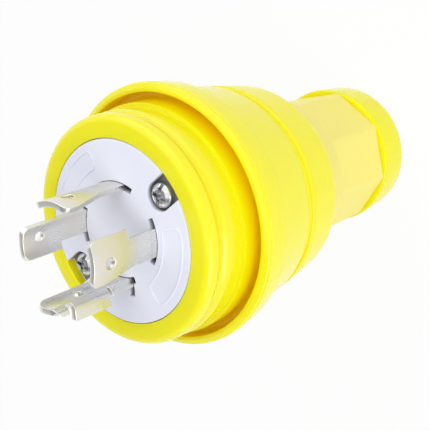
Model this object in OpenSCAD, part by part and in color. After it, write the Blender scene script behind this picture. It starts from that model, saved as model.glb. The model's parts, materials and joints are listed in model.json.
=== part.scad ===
// Locking power plug for wet places.
// Four curved blades stand in a white contact face. A flanged elastomer jacket covers
// the front, a rear housing carries it, and a cord gland with an octagonal nut closes
// the cord end. The plug stands on its cord end: Z = 0 is the rear rim of the gland
// boot, and the blades point up along +Z. All sizes are in millimetres.

/* [Contact face] */
// Radius of the white contact face
face_r = 22.5; // [21.5:0.5:26]
// Thickness of the face plate
face_plate_t = 5; // [4.5:0.25:7]
// Length of the skirt behind the face plate
face_skirt_len = 9.8; // [7:0.2:12]
// Wall of the skirt
face_skirt_wall = 2.5; // [1.5:0.25:2.75]
// Height of the raised frames on the face
frame_height = 0.25; // [0.1:0.05:0.5]
// Width of the raised frame lines
frame_line_w = 0.4; // [0.2:0.05:0.8]

/* [Blades] */
// Radius of the circle on which the blades stand
blade_circle_r = 11.8; // [10.5:0.1:12.5]
// Thickness of the blade strip
blade_t = 1.4; // [1:0.1:1.8]
// Length of the three power blades in front of the face
blade_len = 19.4; // [16:0.2:24]
// Length of the ground blade in front of the face
ground_len = 23.6; // [20:0.2:28]
// Half width of a power blade's neck
neck_half_w = 3.3; // [2.6:0.1:3.8]
// Distance of the locking step from the face
step_height = 8.2; // [6:0.1:10]
// Half width of a blade beyond the step
hook_half_w = 5.2; // [4.4:0.1:5.4]
// Radius of the hole near a blade's tip
tip_hole_r = 1.3; // [0.8:0.1:1.6]
// Distance of that hole from the face
tip_hole_height = 14.5; // [12:0.1:16]
// Outer reach of the ground blade's side tab from the plug's axis
tab_reach = 15.2; // [14:0.1:16]
// Length of that side tab
tab_len = 11; // [8:0.5:13]
// Distance of that side tab from the face
tab_height = 7.4; // [6:0.2:9]

/* [Terminals] */
// Half width of a blade's tail at its terminal
tail_half_w = 4; // [3.2:0.1:4.4]
// Length of a blade's tail behind the contact carrier
tail_len = 16; // [14:0.5:18]
// Distance of the terminal screws behind the contact carrier
terminal_depth = 9; // [7.5:0.5:10]
// Thickness of a terminal clamp
clamp_t = 1.2; // [0.8:0.1:1.6]
// Radius of a terminal screw's shank
terminal_screw_r = 1.75; // [1.5:0.05:2]
// Length of a terminal screw under its head
terminal_screw_len = 4.6; // [3.5:0.1:6]
// Radius of a terminal screw's head
terminal_head_r = 3.4; // [2.8:0.1:3.8]
// Height of a terminal screw's head
terminal_head_h = 2; // [1.4:0.1:2.4]

/* [Assembly screws] */
// Distance of the two long screws' axes from the rim of the face
screw_inset = 4.85; // [4.65:0.05:5.2]
// Direction of the first long screw around the axis, in degrees
screw_angle = 29; // [24:1:34]
// Radius of a long screw's shank
screw_r = 1.95; // [1.5:0.05:2]
// Radius of a long screw's head
screw_head_r = 2.9; // [2.5:0.1:3.1]
// Height of a long screw's head
screw_head_h = 2.3; // [1.6:0.1:2.6]
// Length of a long screw under its head
screw_len = 28; // [22:1:32]
// Depth of the notch that holds the head
notch_depth = 3; // [2.4:0.1:3.5]
// Outer radius of a threaded insert
insert_r = 2.9; // [2.6:0.05:3]
// Length of a threaded insert
insert_len = 8; // [6:0.5:10]

/* [Jacket] */
// Length of the jacket
jacket_len = 36.9; // [34:0.1:42]
// Wall of the jacket's barrel
barrel_wall = 5.65; // [4.5:0.05:7]
// How much lower than the barrel the front bead is
bead_drop = 0.2; // [0.1:0.1:0.6]
// Length of the front bead
bead_len = 4.2; // [3:0.1:6]
// Depth of the grooves in the jacket's outside
groove_depth = 0.8; // [0.4:0.1:1.2]
// Distance from the face to the barrel's step
barrel_len = 11.6; // [10:0.1:13]
// Height of that step
barrel_step = 0.6; // [0.3:0.1:1.2]
// Distance from the face to the flange's lip
lip_depth = 14.3; // [13.5:0.1:17]
// Width of the ring channel between the barrel and the lip
channel_w = 2.1; // [1.8:0.1:3.5]
// Thickness of the flange's lip
lip_w = 2.3; // [1.6:0.1:3.5]
// Length of the flange's rim
rim_len = 7.8; // [6:0.1:9]
// Depth of the ring channel behind the lip
channel_depth = 7; // [5:0.5:9]
// How far the jacket steps in behind the flange
skirt_drop = 2.3; // [1.2:0.1:3]
// How much the jacket tapers from there to its rear edge
skirt_taper = 2.1; // [1:0.1:2.6]

/* [Rear housing] */
// Length of the shadow groove between jacket and housing
groove_len = 2.2; // [1.5:0.1:4]
// Length of the housing's outer shell
shell_len = 13.5; // [12:0.5:18]
// How much lower than the jacket's rear edge the shell starts
shell_drop = 0.2; // [0:0.1:0.6]
// How much the shell tapers to its rear edge
shell_taper = 2.1; // [1:0.1:2.4]
// Wall of the shell
shell_wall = 3.5; // [2.5:0.25:4]
// Wall of the sleeve inside the jacket
sleeve_wall = 3.1; // [2.5:0.1:3.2]
// Radius of the two screw bosses
boss_r = 4.2; // [3.8:0.1:4.4]
// Wall of the threaded spigot
spigot_wall = 2.55; // [2:0.05:3]
// Length of the threaded spigot
spigot_len = 27.4; // [24:0.2:28]

/* [Cord gland] */
// Radius of the cord hole through the seal
cord_r = 8; // [6:0.5:8.5]
// Wall of the cord seal inside the spigot
seal_wall = 4.8; // [4.3:0.1:4.9]
// Length of the cord seal inside the spigot
seal_len = 20; // [14:0.5:20.5]
// Height of the seal's head behind the spigot
seal_head_h = 2.2; // [1.5:0.1:2.6]
// Thickness of the thrust washer
washer_t = 2; // [1.2:0.1:2.4]
// Thickness of the grip collet's flange
collet_flange_t = 2.8; // [2:0.1:3.2]
// Wall of the collet's fingers at their root
finger_wall = 2.9; // [2.2:0.1:3]
// How much the fingers taper to their tips
finger_taper = 1.3; // [0.8:0.1:1.6]
// Room between the cord and the collet
collet_gap = 1; // [0.5:0.1:1.5]
// Room between the cord and the washer and housing throat
throat_gap = 2.5; // [2:0.1:3]
// Number of fingers around the collet
finger_count = 8; // [6:1:10]
// Width of the gaps between the fingers
finger_gap = 1.4; // [1:0.1:2]
// Thickness of the round seal ring under the nut
ring_t = 2.6; // [2:0.1:2.8]

/* [Gland nut] */
// Wall of the nut under the flats of the octagon
nut_wall = 2.4; // [2:0.1:3]
// Length of the octagon
nut_flats_len = 25.4; // [23:0.2:28]
// Length of the nut's round shoulder
shoulder_len = 9.7; // [8:0.1:12]
// How far the shoulder stands out from the octagon's corners
shoulder_step = 1.9; // [1.2:0.1:2.5]
// How much lower than the housing's rear edge the shoulder ends
shoulder_drop = 1.3; // [0.8:0.1:2]
// Direction of one corner of the octagon around the axis, in degrees
nut_turn = 24; // [0:1:44]
// Length of the gland boot
boot_len = 11.8; // [10:0.2:14]
// How far the boot stands out from the octagon's corners
boot_step = 0.2; // [0:0.1:1]
// How much the boot tapers to its rear rim
boot_taper = 1; // [0.4:0.1:1.4]
// Wall of the boot at its rear rim
boot_wall = 3; // [2.4:0.1:3.4]
// Thickness of the boot's rear lip
boot_lip_t = 2.3; // [1.8:0.1:3]

/* [Fits] */
// Clearance between pieces that seat in each other
fit = 0.15; // [0.05:0.05:0.3]
// Clearance between pieces that move on each other
running_gap = 0.3; // [0.2:0.05:0.4]

/* [Hidden] */
$fn = 96;
cut = 1;            // how far a cutter reaches past the surface that it cuts
corner_steps = 4;   // straight steps in a rounded profile corner

// Levels along the axis, from the cord end to the face
nut_rear_z = boot_len;
shoulder_z = nut_rear_z + nut_flats_len;
nut_front_z = shoulder_z + shoulder_len;
nut_clear = 0.5;
shell_rear_z = nut_front_z + nut_clear;
shell_front_z = shell_rear_z + shell_len;
jacket_rear_z = shell_front_z + groove_len;
face_z = jacket_rear_z + jacket_len;
plate_z = face_z - face_plate_t;
gasket_t = 1.2;
sleeve_top_z = plate_z - face_skirt_len - gasket_t;
spigot_z = shell_rear_z - spigot_len;
seal_rear_z = spigot_z - seal_head_h;
seal_front_z = spigot_z + seal_len;
washer_z = seal_rear_z - running_gap - washer_t;
collet_z = washer_z - collet_flange_t;
nut_floor_z = collet_z - running_gap;
notch_z = face_z - notch_depth;
terminal_z = sleeve_top_z - terminal_depth;
tail_z = sleeve_top_z - tail_len;
ledge_t = 2;
guide_t = 2;
guide_gap = 2.5;
guide_z = tail_z - guide_gap - guide_t;
ledge_z = guide_z - ledge_t;
boss_z = guide_z - ledge_t / 2;

// Radii that follow from their neighbours
jacket_bore_r = face_r + fit;
barrel_r = jacket_bore_r + barrel_wall;
bead_r = barrel_r - bead_drop;
step_r = barrel_r + barrel_step;
lip_r = step_r + channel_w;
flange_r = lip_r + lip_w;
skirt_r = flange_r - skirt_drop;
jacket_rear_r = skirt_r - skirt_taper;
shell_front_r = jacket_rear_r - shell_drop;
shell_rear_r = shell_front_r - shell_taper;
screw_circle_r = face_r - screw_inset;
sleeve_bore_r = face_r - sleeve_wall;
skirt_bore_r = face_r - face_skirt_wall;
carrier_r = skirt_bore_r - fit;
groove_r = shell_front_r - groove_depth;
spigot_bore_r = cord_r + seal_wall + fit;
spigot_r = spigot_bore_r + spigot_wall;
throat_r = cord_r + throat_gap;
nut_bore_r = spigot_r + running_gap;
nut_corner_r = (nut_bore_r + nut_wall) / cos(22.5);
shoulder_rear_r = nut_corner_r + shoulder_step;
shoulder_front_r = shell_rear_r - shoulder_drop;
boot_front_r = nut_corner_r + boot_step;
boot_rear_r = boot_front_r - boot_taper;
tail_r = boot_rear_r - boot_wall;
collet_bore_r = cord_r + collet_gap;
finger_root_r = collet_bore_r + finger_wall;
finger_tip_r = finger_root_r - finger_taper;
finger_tip_z = boot_lip_t + finger_gap;
ring_mid_r = spigot_r + fit + ring_t / 2;
ring_bay_r = ring_mid_r + ring_t / 2 + running_gap;
ring_z = shell_rear_z - fit - ring_t / 2;
notch_gap = 0.65;
notch_r = screw_head_r + notch_gap;
blade_outer_r = blade_circle_r + blade_t / 2;
blade_inner_r = blade_circle_r - blade_t / 2;

// Directions of the blades around the axis, in degrees
right_angle = -10.8;
top_angle = 82.8;
left_angle = 169.7;
ground_angle = -99;
blade_angles = [right_angle, top_angle, left_angle, ground_angle];
slot_half_angle = 27.5;
short_slot_half_angle = 21.5;
slot_half_angles = [slot_half_angle, slot_half_angle, short_slot_half_angle, short_slot_half_angle];
slot_gap = 0.1;

// Unit vector along v
function unit(v) = v / norm(v);
// Difference of two directions in degrees, between -180 and 180
function turn_between(a0, a1) = (a1 - a0 + 540) % 360 - 180;
// Points of an arc of radius r that rounds corner b between its neighbours a and c
function corner_arc(a, b, c, r) =
    let (
        u = unit(a - b),
        v = unit(c - b),
        half = acos(u * v) / 2,
        centre = b + unit(u + v) * r / sin(half),
        from = b + u * r / tan(half) - centre,
        to = b + v * r / tan(half) - centre,
        start = atan2(from.y, from.x),
        sweep = turn_between(start, atan2(to.y, to.x))
    )
    [for (i = [0:corner_steps])
        centre + r * [cos(start + sweep * i / corner_steps), sin(start + sweep * i / corner_steps)]];
// Outline whose corners [x, y, radius] are rounded
function rounded(corners) =
    let (n = len(corners), at = [for (p = corners) [p.x, p.y]])
    [for (i = [0:n - 1]) each
        corners[i][2] > 0
            ? corner_arc(at[(i + n - 1) % n], at[i], at[(i + 1) % n], corners[i][2])
            : [at[i]]];

// Ring of revolution from an outline of corners [radius, height, rounding]
module turned(corners) {
    rotate_extrude() polygon(rounded(corners));
}

// Plain ring between two radii and two heights
module ring(inner_r, outer_r, z0, z1) {
    translate([0, 0, z0]) difference() {
        cylinder(r = outer_r, h = z1 - z0);
        translate([0, 0, -cut]) cylinder(r = inner_r, h = z1 - z0 + 2 * cut);
    }
}

// Places its children at the two long screws
module at_screws() {
    for (side = [0, 180])
        rotate([0, 0, screw_angle + side]) translate([screw_circle_r, 0, 0]) children();
}

// Turns its children's X axis towards a direction around the plug
module facing(angle) {
    rotate([0, 0, angle]) children();
}

// Cutter for one curved blade slot
module blade_slot(angle, half_angle, z0, z1) {
    facing(angle - half_angle) translate([0, 0, z0]) rotate_extrude(angle = 2 * half_angle)
        translate([blade_inner_r - slot_gap, 0]) square([blade_t + 2 * slot_gap, z1 - z0]);
}

// Cutter for the four blade slots and the side slot of the ground blade's tab
module blade_slots(z0, z1) {
    for (i = [0:3]) blade_slot(blade_angles[i], slot_half_angles[i], z0, z1);
    facing(ground_angle)
        translate([blade_circle_r, tab_inner_y - slot_gap, z0])
            cube([tab_reach - blade_circle_r + slot_gap, blade_t + 2 * slot_gap, z1 - z0]);
}

// Elastomer jacket: front bead, barrel, flange with its ring channel, and tapered rear
module seal_jacket() {
    bead_z = face_z - bead_len;
    step_z = face_z - barrel_len;
    lip_z = face_z - lip_depth;
    channel_z = lip_z - channel_depth;
    rim_z = lip_z - lip_w / 2;
    color([0.98, 0.93, 0.08]) turned([
        [jacket_bore_r, jacket_rear_z, 0],
        [jacket_rear_r, jacket_rear_z, 0.8],
        [skirt_r, rim_z - rim_len + 0.6, 0.4],
        [flange_r - 0.8, rim_z - rim_len + 1, 0.7],
        [flange_r, rim_z, 0.8],
        [lip_r, lip_z, 0.4],
        [lip_r, channel_z, 0.8],
        [step_r, channel_z, 0.8],
        [step_r, step_z - 0.5, 0.4],
        [barrel_r, step_z, 0.2],
        [barrel_r, bead_z - 0.3, 1],
        [bead_r - groove_depth, bead_z, 0.2],
        [bead_r, bead_z + 0.3, 0.6],
        [bead_r, face_z, 1.5],
        [jacket_bore_r, face_z, 0.3]
    ]);
}

// Rear housing: outer shell, sleeve inside the jacket, screw bosses and threaded spigot
module rear_housing() {
    chamber_r = shell_rear_r - shell_wall;
    color([0.97, 0.92, 0.2]) difference() {
        union() {
            turned([
                [spigot_bore_r, spigot_z, 0],
                [spigot_r, spigot_z, 0.6],
                [spigot_r, shell_rear_z, 0],
                [shell_rear_r, shell_rear_z, 1.4],
                [shell_front_r, shell_front_z, 0.8],
                [groove_r, shell_front_z, 0],
                [groove_r, jacket_rear_z, 0],
                [face_r, jacket_rear_z, 0],
                [face_r, sleeve_top_z, 0],
                [sleeve_bore_r, sleeve_top_z, 0],
                [sleeve_bore_r, guide_z, 0],
                [sleeve_bore_r - 2, guide_z, 0],
                [sleeve_bore_r - 2, ledge_z, 0],
                [chamber_r, ledge_z - 1.5, 0],
                [chamber_r, shell_rear_z + shell_wall, 1.5],
                [throat_r, shell_rear_z + shell_wall, 0],
                [throat_r, seal_front_z, 0],
                [spigot_bore_r, seal_front_z, 0]
            ]);
            at_screws() translate([0, 0, boss_z]) cylinder(r = boss_r, h = sleeve_top_z - boss_z);
        }
        at_screws() translate([0, 0, sleeve_top_z - insert_len])
            cylinder(r = insert_r + fit, h = insert_len + cut);
        at_screws() translate([0, 0, notch_z - screw_len - cut])
            cylinder(r = screw_r + fit, h = screw_len);
    }
}

// Raised frame on the face: a closed band between two radii and two directions
module face_frame(inner_r, outer_r, from, to) {
    translate([0, 0, face_z - frame_height]) {
        for (r = [inner_r, outer_r])
            facing(from) rotate_extrude(angle = to - from)
                translate([r, 0]) square([frame_line_w, 2 * frame_height]);
        for (end = [from, to])
            facing(end) translate([inner_r, -frame_line_w / 2, 0])
                cube([outer_r - inner_r + frame_line_w, frame_line_w, 2 * frame_height]);
    }
}

// White contact face with its skirt, blade slots, screw notches and two blank frames
module contact_face() {
    color([0.93, 0.93, 0.97]) {
        difference() {
            turned([
                [0, plate_z, 0],
                [skirt_bore_r, plate_z, 0],
                [skirt_bore_r, plate_z - face_skirt_len, 0],
                [face_r, plate_z - face_skirt_len, 0],
                [face_r, face_z, 0.5],
                [0, face_z, 0]
            ]);
            blade_slots(plate_z - cut, face_z + cut);
            at_screws() {
                translate([0, 0, plate_z - cut]) cylinder(r = screw_r + fit, h = face_plate_t + 2 * cut);
                translate([0, 0, notch_z]) cylinder(r = notch_r, h = notch_depth + cut);
                translate([0, -notch_r, notch_z]) cube([face_r, 2 * notch_r, notch_depth + cut]);
            }
        }
        face_frame(face_r * 0.64, face_r * 0.89, -62, 2);
        face_frame(face_r * 0.72, face_r * 0.9, 104, 150);
    }
}

// Insulating carrier that holds the blades, with barrier walls between the terminals
module contact_carrier() {
    wall_t = 1.6;
    wall_z = guide_z + guide_t;
    wall_gap = 0.5;
    long_wall_r = sleeve_bore_r - wall_gap;
    short_wall_r = screw_circle_r - boss_r - wall_gap;
    color([0.85, 0.85, 0.83]) {
        difference() {
            translate([0, 0, sleeve_top_z]) cylinder(r = carrier_r, h = plate_z - sleeve_top_z);
            blade_slots(sleeve_top_z - cut, plate_z + cut);
            at_screws() translate([0, 0, sleeve_top_z - cut])
                cylinder(r = screw_r + fit, h = plate_z - sleeve_top_z + 2 * cut);
        }
        translate([0, 0, wall_z]) cylinder(r = 3, h = sleeve_top_z - wall_z);
        for (side = [0, 180]) {
            facing(screw_angle + side) translate([0, -wall_t / 2, wall_z])
                cube([short_wall_r, wall_t, sleeve_top_z - wall_z]);
            facing(screw_angle + 98 + side) translate([0, -wall_t / 2, wall_z])
                cube([long_wall_r, wall_t, sleeve_top_z - wall_z]);
        }
    }
}

// Plate that leads the four wires to their terminals
module wire_guide() {
    hole_r = 3;
    hole_shift = 1.2;
    color([0.75, 0.75, 0.72]) difference() {
        translate([0, 0, guide_z]) cylinder(r = sleeve_bore_r - fit, h = guide_t);
        for (angle = blade_angles)
            facing(angle) translate([blade_circle_r + hole_shift, 0, guide_z - cut])
                cylinder(r = hole_r, h = guide_t + 2 * cut);
        at_screws() translate([0, 0, guide_z - cut]) cylinder(r = boss_r + fit, h = guide_t + 2 * cut);
    }
}

// Flat gasket between the housing's sleeve and the skirt of the contact face
module carrier_gasket() {
    color([0.15, 0.15, 0.16]) ring(skirt_bore_r, face_r, sleeve_top_z, sleeve_top_z + gasket_t);
}

// Strip on the blade circle, cut to an outline of corners [across, height, rounding]
module curved_strip(outline) {
    intersection() {
        ring(blade_inner_r, blade_outer_r, tail_z - cut, face_z + ground_len + cut);
        rotate([90, 0, 90]) linear_extrude(height = 2 * blade_circle_r) polygon(rounded(outline));
    }
}

// Radial hole through a blade
module blade_hole(across, z, r) {
    translate([0, across, z]) rotate([0, 90, 0]) cylinder(r = r, h = 2 * blade_circle_r);
}

// Shoulder behind the carrier and tail with the hole for the terminal screw
function tail_left(half_w, edge) = [
    [-edge, sleeve_top_z, 0], [-half_w, sleeve_top_z, 0], [-half_w, sleeve_top_z - shoulder_h, 0],
    [-tail_half_w, sleeve_top_z - shoulder_h, 0], [-tail_half_w, tail_z, 0.8]
];
function tail_right(half_w, edge) = [
    [tail_half_w, tail_z, 0.8], [tail_half_w, sleeve_top_z - shoulder_h, 0],
    [half_w, sleeve_top_z - shoulder_h, 0], [half_w, sleeve_top_z, 0], [edge, sleeve_top_z, 0]
];
shoulder_h = 2.5;
shoulder_half_w = 5.8;
short_shoulder_half_w = 4.6;
straight_half_w = 4;
tip_round = 1.6;

// Power blade with a locking step on one side and a flared edge on the other
module hooked_blade() {
    flare_len = 4;
    hook_fillet = 0.8;
    tip_z = face_z + blade_len;
    difference() {
        curved_strip(concat(
            tail_left(shoulder_half_w, neck_half_w), tail_right(shoulder_half_w, neck_half_w),
            [
                [neck_half_w, face_z + step_height, 0.3],
                [hook_half_w, face_z + step_height, 0.3],
                [hook_half_w, tip_z, tip_round],
                [-hook_half_w, tip_z, tip_round],
                [-hook_half_w, tip_z - flare_len, tip_round],
                [-neck_half_w, face_z + step_height - hook_fillet, tip_round]
            ]
        ));
        blade_hole(-0.5, face_z + tip_hole_height, tip_hole_r);
        blade_hole(0, terminal_z, terminal_screw_r + fit);
    }
}

// Power blade with a locking step on one side and one straight edge
module straight_blade() {
    edge_half_w = straight_half_w;
    inner_half_w = straight_half_w / 2;
    tip_z = face_z + blade_len;
    difference() {
        curved_strip(concat(
            tail_left(short_shoulder_half_w, edge_half_w),
            tail_right(short_shoulder_half_w, inner_half_w),
            [
                [inner_half_w, face_z + step_height, 0.3],
                [edge_half_w, face_z + step_height, 0.3],
                [edge_half_w, tip_z, tip_round],
                [-edge_half_w, tip_z, tip_round]
            ]
        ));
        blade_hole(-1, face_z + tip_hole_height, tip_hole_r);
        blade_hole(0, terminal_z, terminal_screw_r + fit);
    }
}

ground_half_w = 3.8;
tab_inner_y = ground_half_w - blade_t;

// Longer ground blade with a tab bent outwards along one edge
module ground_strip() {
    tab_z = face_z + tab_height;
    relief = 1.6;
    tip_z = face_z + ground_len;
    difference() {
        union() {
            curved_strip(concat(
                tail_left(short_shoulder_half_w, ground_half_w),
                tail_right(short_shoulder_half_w, ground_half_w),
                [[ground_half_w, tip_z, tip_round + 0.6], [-ground_half_w, tip_z, tip_round + 1.2]]
            ));
            translate([blade_circle_r, tab_inner_y, tab_z])
                cube([tab_reach - blade_circle_r, blade_t, tab_len]);
        }
        translate([0, ground_half_w - relief, tab_z + tab_len])
            cube([2 * blade_circle_r, relief + cut, relief]);
        blade_hole(-0.5, face_z + tip_hole_height - 1, tip_hole_r);
        blade_hole(0, terminal_z, terminal_screw_r + fit);
    }
}

module right_blade() {
    color([0.72, 0.7, 0.64]) facing(right_angle) hooked_blade();
}

module top_blade() {
    color([0.72, 0.7, 0.64]) facing(top_angle) hooked_blade();
}

module left_blade() {
    color([0.72, 0.7, 0.64]) facing(left_angle) straight_blade();
}

module ground_blade() {
    color([0.72, 0.7, 0.64]) facing(ground_angle) ground_strip();
}

// Terminal clamp: a plate over the blade's tail with two lips beside it
module terminal_clamp(angle) {
    plate_x = blade_outer_r + fit;
    lip_t = 1;
    half_w = tail_half_w + fit + lip_t;
    half_h = 3.6;
    color([0.78, 0.66, 0.3]) facing(angle) difference() {
        translate([plate_x - lip_t, -half_w, terminal_z - half_h])
            cube([lip_t + clamp_t, 2 * half_w, 2 * half_h]);
        translate([plate_x - lip_t - cut, lip_t - half_w, terminal_z - half_h - cut])
            cube([lip_t + cut, 2 * (half_w - lip_t), 2 * (half_h + cut)]);
        blade_hole(0, terminal_z, terminal_screw_r + fit);
    }
}

module right_clamp() {
    terminal_clamp(right_angle);
}

module top_clamp() {
    terminal_clamp(top_angle);
}

module left_clamp() {
    terminal_clamp(left_angle);
}

module ground_clamp() {
    terminal_clamp(ground_angle);
}

// Screw along +Z with its head on the plane Z = 0 and a cross recess in its top
module cross_screw(shank_r, shank_len, head_r, head_h) {
    recess_w = head_r * 0.3;
    difference() {
        union() {
            turned([[0, 0, 0], [head_r, 0, 0], [head_r, head_h, head_h * 0.6], [0, head_h, 0]]);
            translate([0, 0, -shank_len]) cylinder(r = shank_r, h = shank_len + head_h / 2);
        }
        for (turn = [0, 90])
            rotate([0, 0, turn]) translate([-head_r * 0.62, -recess_w / 2, head_h * 0.4])
                cube([head_r * 1.24, recess_w, head_h]);
    }
}

// Terminal screw in its place, its head on the clamp
module terminal_screw(angle) {
    seat_x = blade_outer_r + fit + clamp_t;
    facing(angle) translate([seat_x, 0, terminal_z]) rotate([0, 90, 0])
        cross_screw(terminal_screw_r, terminal_screw_len, terminal_head_r, terminal_head_h);
}

module terminal_screws() {
    color([0.8, 0.78, 0.72]) for (angle = [right_angle, top_angle, left_angle]) terminal_screw(angle);
}

module ground_screw() {
    color([0.2, 0.55, 0.3]) terminal_screw(ground_angle);
}

module assembly_screws() {
    color([0.8, 0.8, 0.82]) at_screws() translate([0, 0, notch_z])
        rotate([0, 0, 20]) cross_screw(screw_r, screw_len, screw_head_r, screw_head_h);
}

module threaded_inserts() {
    color([0.85, 0.7, 0.3]) at_screws()
        ring(screw_r + 0.05, insert_r, sleeve_top_z - insert_len, sleeve_top_z);
}

// Elastomer bushing that seals on the cord and in the spigot
module cord_seal() {
    seal_r = cord_r + seal_wall;
    color([0.2, 0.2, 0.21]) turned([
        [cord_r, seal_rear_z, 0],
        [spigot_r - fit, seal_rear_z, 0.5],
        [spigot_r - fit, spigot_z, 0],
        [seal_r, spigot_z, 0],
        [seal_r, seal_front_z, 0],
        [cord_r, seal_front_z, 0]
    ]);
}

// Slip washer between the collet and the cord seal
module thrust_washer() {
    color([0.9, 0.9, 0.88]) ring(throat_r, spigot_r, washer_z, washer_z + washer_t);
}

// Collet whose fingers grip the cord when the nut pushes them inwards
module grip_collet() {
    color([0.3, 0.3, 0.32]) difference() {
        turned([
            [collet_bore_r, finger_tip_z, 0],
            [finger_tip_r, finger_tip_z, 0.4],
            [finger_root_r, collet_z, 0],
            [spigot_r, collet_z, 0],
            [spigot_r, washer_z, 0],
            [collet_bore_r, washer_z, 0]
        ]);
        for (i = [0:finger_count - 1])
            facing(360 * i / finger_count) translate([0, -finger_gap / 2, finger_tip_z - cut])
                cube([spigot_r - cut, finger_gap, collet_z - finger_tip_z + cut]);
    }
}

// Round seal ring between the nut and the housing
module nut_seal_ring() {
    color([0.15, 0.15, 0.16]) rotate_extrude() translate([ring_mid_r, ring_z]) circle(r = ring_t / 2);
}

// Gland nut: octagon, round shoulder towards the housing and tail inside the boot
module gland_nut() {
    mouth_tip_r = finger_tip_r + running_gap;
    mouth_root_r = finger_root_r + running_gap;
    color([0.98, 0.94, 0.55]) difference() {
        union() {
            facing(nut_turn) translate([0, 0, nut_rear_z])
                cylinder(r = nut_corner_r, h = nut_flats_len + 1, $fn = 8);
            turned([
                [0, shoulder_z, 0],
                [shoulder_rear_r, shoulder_z, 0.5],
                [shoulder_front_r, nut_front_z - 1, 0.8],
                [shoulder_front_r, nut_front_z, 0.4],
                [0, nut_front_z, 0]
            ]);
            translate([0, 0, boot_lip_t]) cylinder(r = tail_r, h = nut_rear_z - boot_lip_t + 1);
        }
        translate([0, 0, nut_floor_z]) cylinder(r = nut_bore_r, h = nut_front_z - nut_floor_z + cut);
        translate([0, 0, ring_z - ring_t]) cylinder(r = ring_bay_r, h = nut_front_z - ring_z + ring_t + cut);
        rotate_extrude() polygon([
            [0, boot_lip_t - cut], [mouth_tip_r, boot_lip_t - cut], [mouth_tip_r, finger_tip_z],
            [mouth_root_r, collet_z], [0, collet_z]
        ]);
    }
}

// Elastomer boot pressed over the nut's tail
module gland_boot() {
    mouth_r = cord_r + throat_gap;
    color([0.98, 0.93, 0.08]) turned([
        [mouth_r, 0, 0.5],
        [boot_rear_r, 0, 1.6],
        [boot_front_r, nut_rear_z, 0.6],
        [tail_r + fit, nut_rear_z, 0],
        [tail_r + fit, boot_lip_t, 0],
        [mouth_r, boot_lip_t, 0]
    ]);
}

seal_jacket();
rear_housing();
contact_face();
contact_carrier();
wire_guide();
carrier_gasket();
right_blade();
top_blade();
left_blade();
ground_blade();
right_clamp();
top_clamp();
left_clamp();
ground_clamp();
terminal_screws();
ground_screw();
assembly_screws();
threaded_inserts();
cord_seal();
thrust_washer();
grip_collet();
nut_seal_ring();
gland_nut();
gland_boot();
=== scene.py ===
"""Locking power plug for wet places: finishes, detailed pieces, light and camera.

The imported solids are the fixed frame. Each class below is one sub-assembly: it holds its
sizes in millimetres, builds its pieces in the same frame and dresses them.
"""

import json
import logging
import math
from collections.abc import Callable, Sequence
from dataclasses import dataclass
from enum import Enum

import bmesh
import bpy
from mathutils import Matrix, Vector

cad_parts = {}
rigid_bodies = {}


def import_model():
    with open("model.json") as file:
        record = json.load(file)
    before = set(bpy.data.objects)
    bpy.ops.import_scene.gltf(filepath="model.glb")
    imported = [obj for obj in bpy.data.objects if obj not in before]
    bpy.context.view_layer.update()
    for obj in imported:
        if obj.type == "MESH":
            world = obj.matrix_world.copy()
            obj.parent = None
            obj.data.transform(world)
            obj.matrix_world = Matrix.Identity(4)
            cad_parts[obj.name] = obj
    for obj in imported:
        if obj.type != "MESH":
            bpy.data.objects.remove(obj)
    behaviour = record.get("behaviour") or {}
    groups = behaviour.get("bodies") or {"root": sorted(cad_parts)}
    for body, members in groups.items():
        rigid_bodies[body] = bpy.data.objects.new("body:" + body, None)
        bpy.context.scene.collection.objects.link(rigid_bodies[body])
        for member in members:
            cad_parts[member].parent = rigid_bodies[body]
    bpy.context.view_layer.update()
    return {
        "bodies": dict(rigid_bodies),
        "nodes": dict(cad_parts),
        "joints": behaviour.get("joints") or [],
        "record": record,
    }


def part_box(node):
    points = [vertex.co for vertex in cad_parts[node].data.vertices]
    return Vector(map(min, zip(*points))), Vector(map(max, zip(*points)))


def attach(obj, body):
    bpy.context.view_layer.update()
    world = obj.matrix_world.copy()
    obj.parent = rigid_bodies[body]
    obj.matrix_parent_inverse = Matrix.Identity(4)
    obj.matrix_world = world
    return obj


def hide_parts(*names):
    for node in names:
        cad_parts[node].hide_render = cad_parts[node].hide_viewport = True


LOG = logging.getLogger("plug")
MM = 0.001

BLADE_CIRCLE_R = 11.8
RIGHT_DEG, TOP_DEG, LEFT_DEG, GROUND_DEG = -10.8, 82.8, 169.7, -99.0
SCREW_CIRCLE_R = 17.65
SCREW_DEG = 29.0

Corner = tuple[float, float, float]
Point = tuple[float, float]
Colour = tuple[float, float, float]
Socket = bpy.types.NodeSocket
Material = bpy.types.Material
Piece = bpy.types.Object
Shape = bmesh.types.BMesh


class Body(Enum):
    """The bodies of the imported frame."""

    PLUG = "plug"
    SLIP_RING = "slip_ring"
    NUT = "nut"


# ---------------------------------------------------------------- shader graphs


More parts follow.
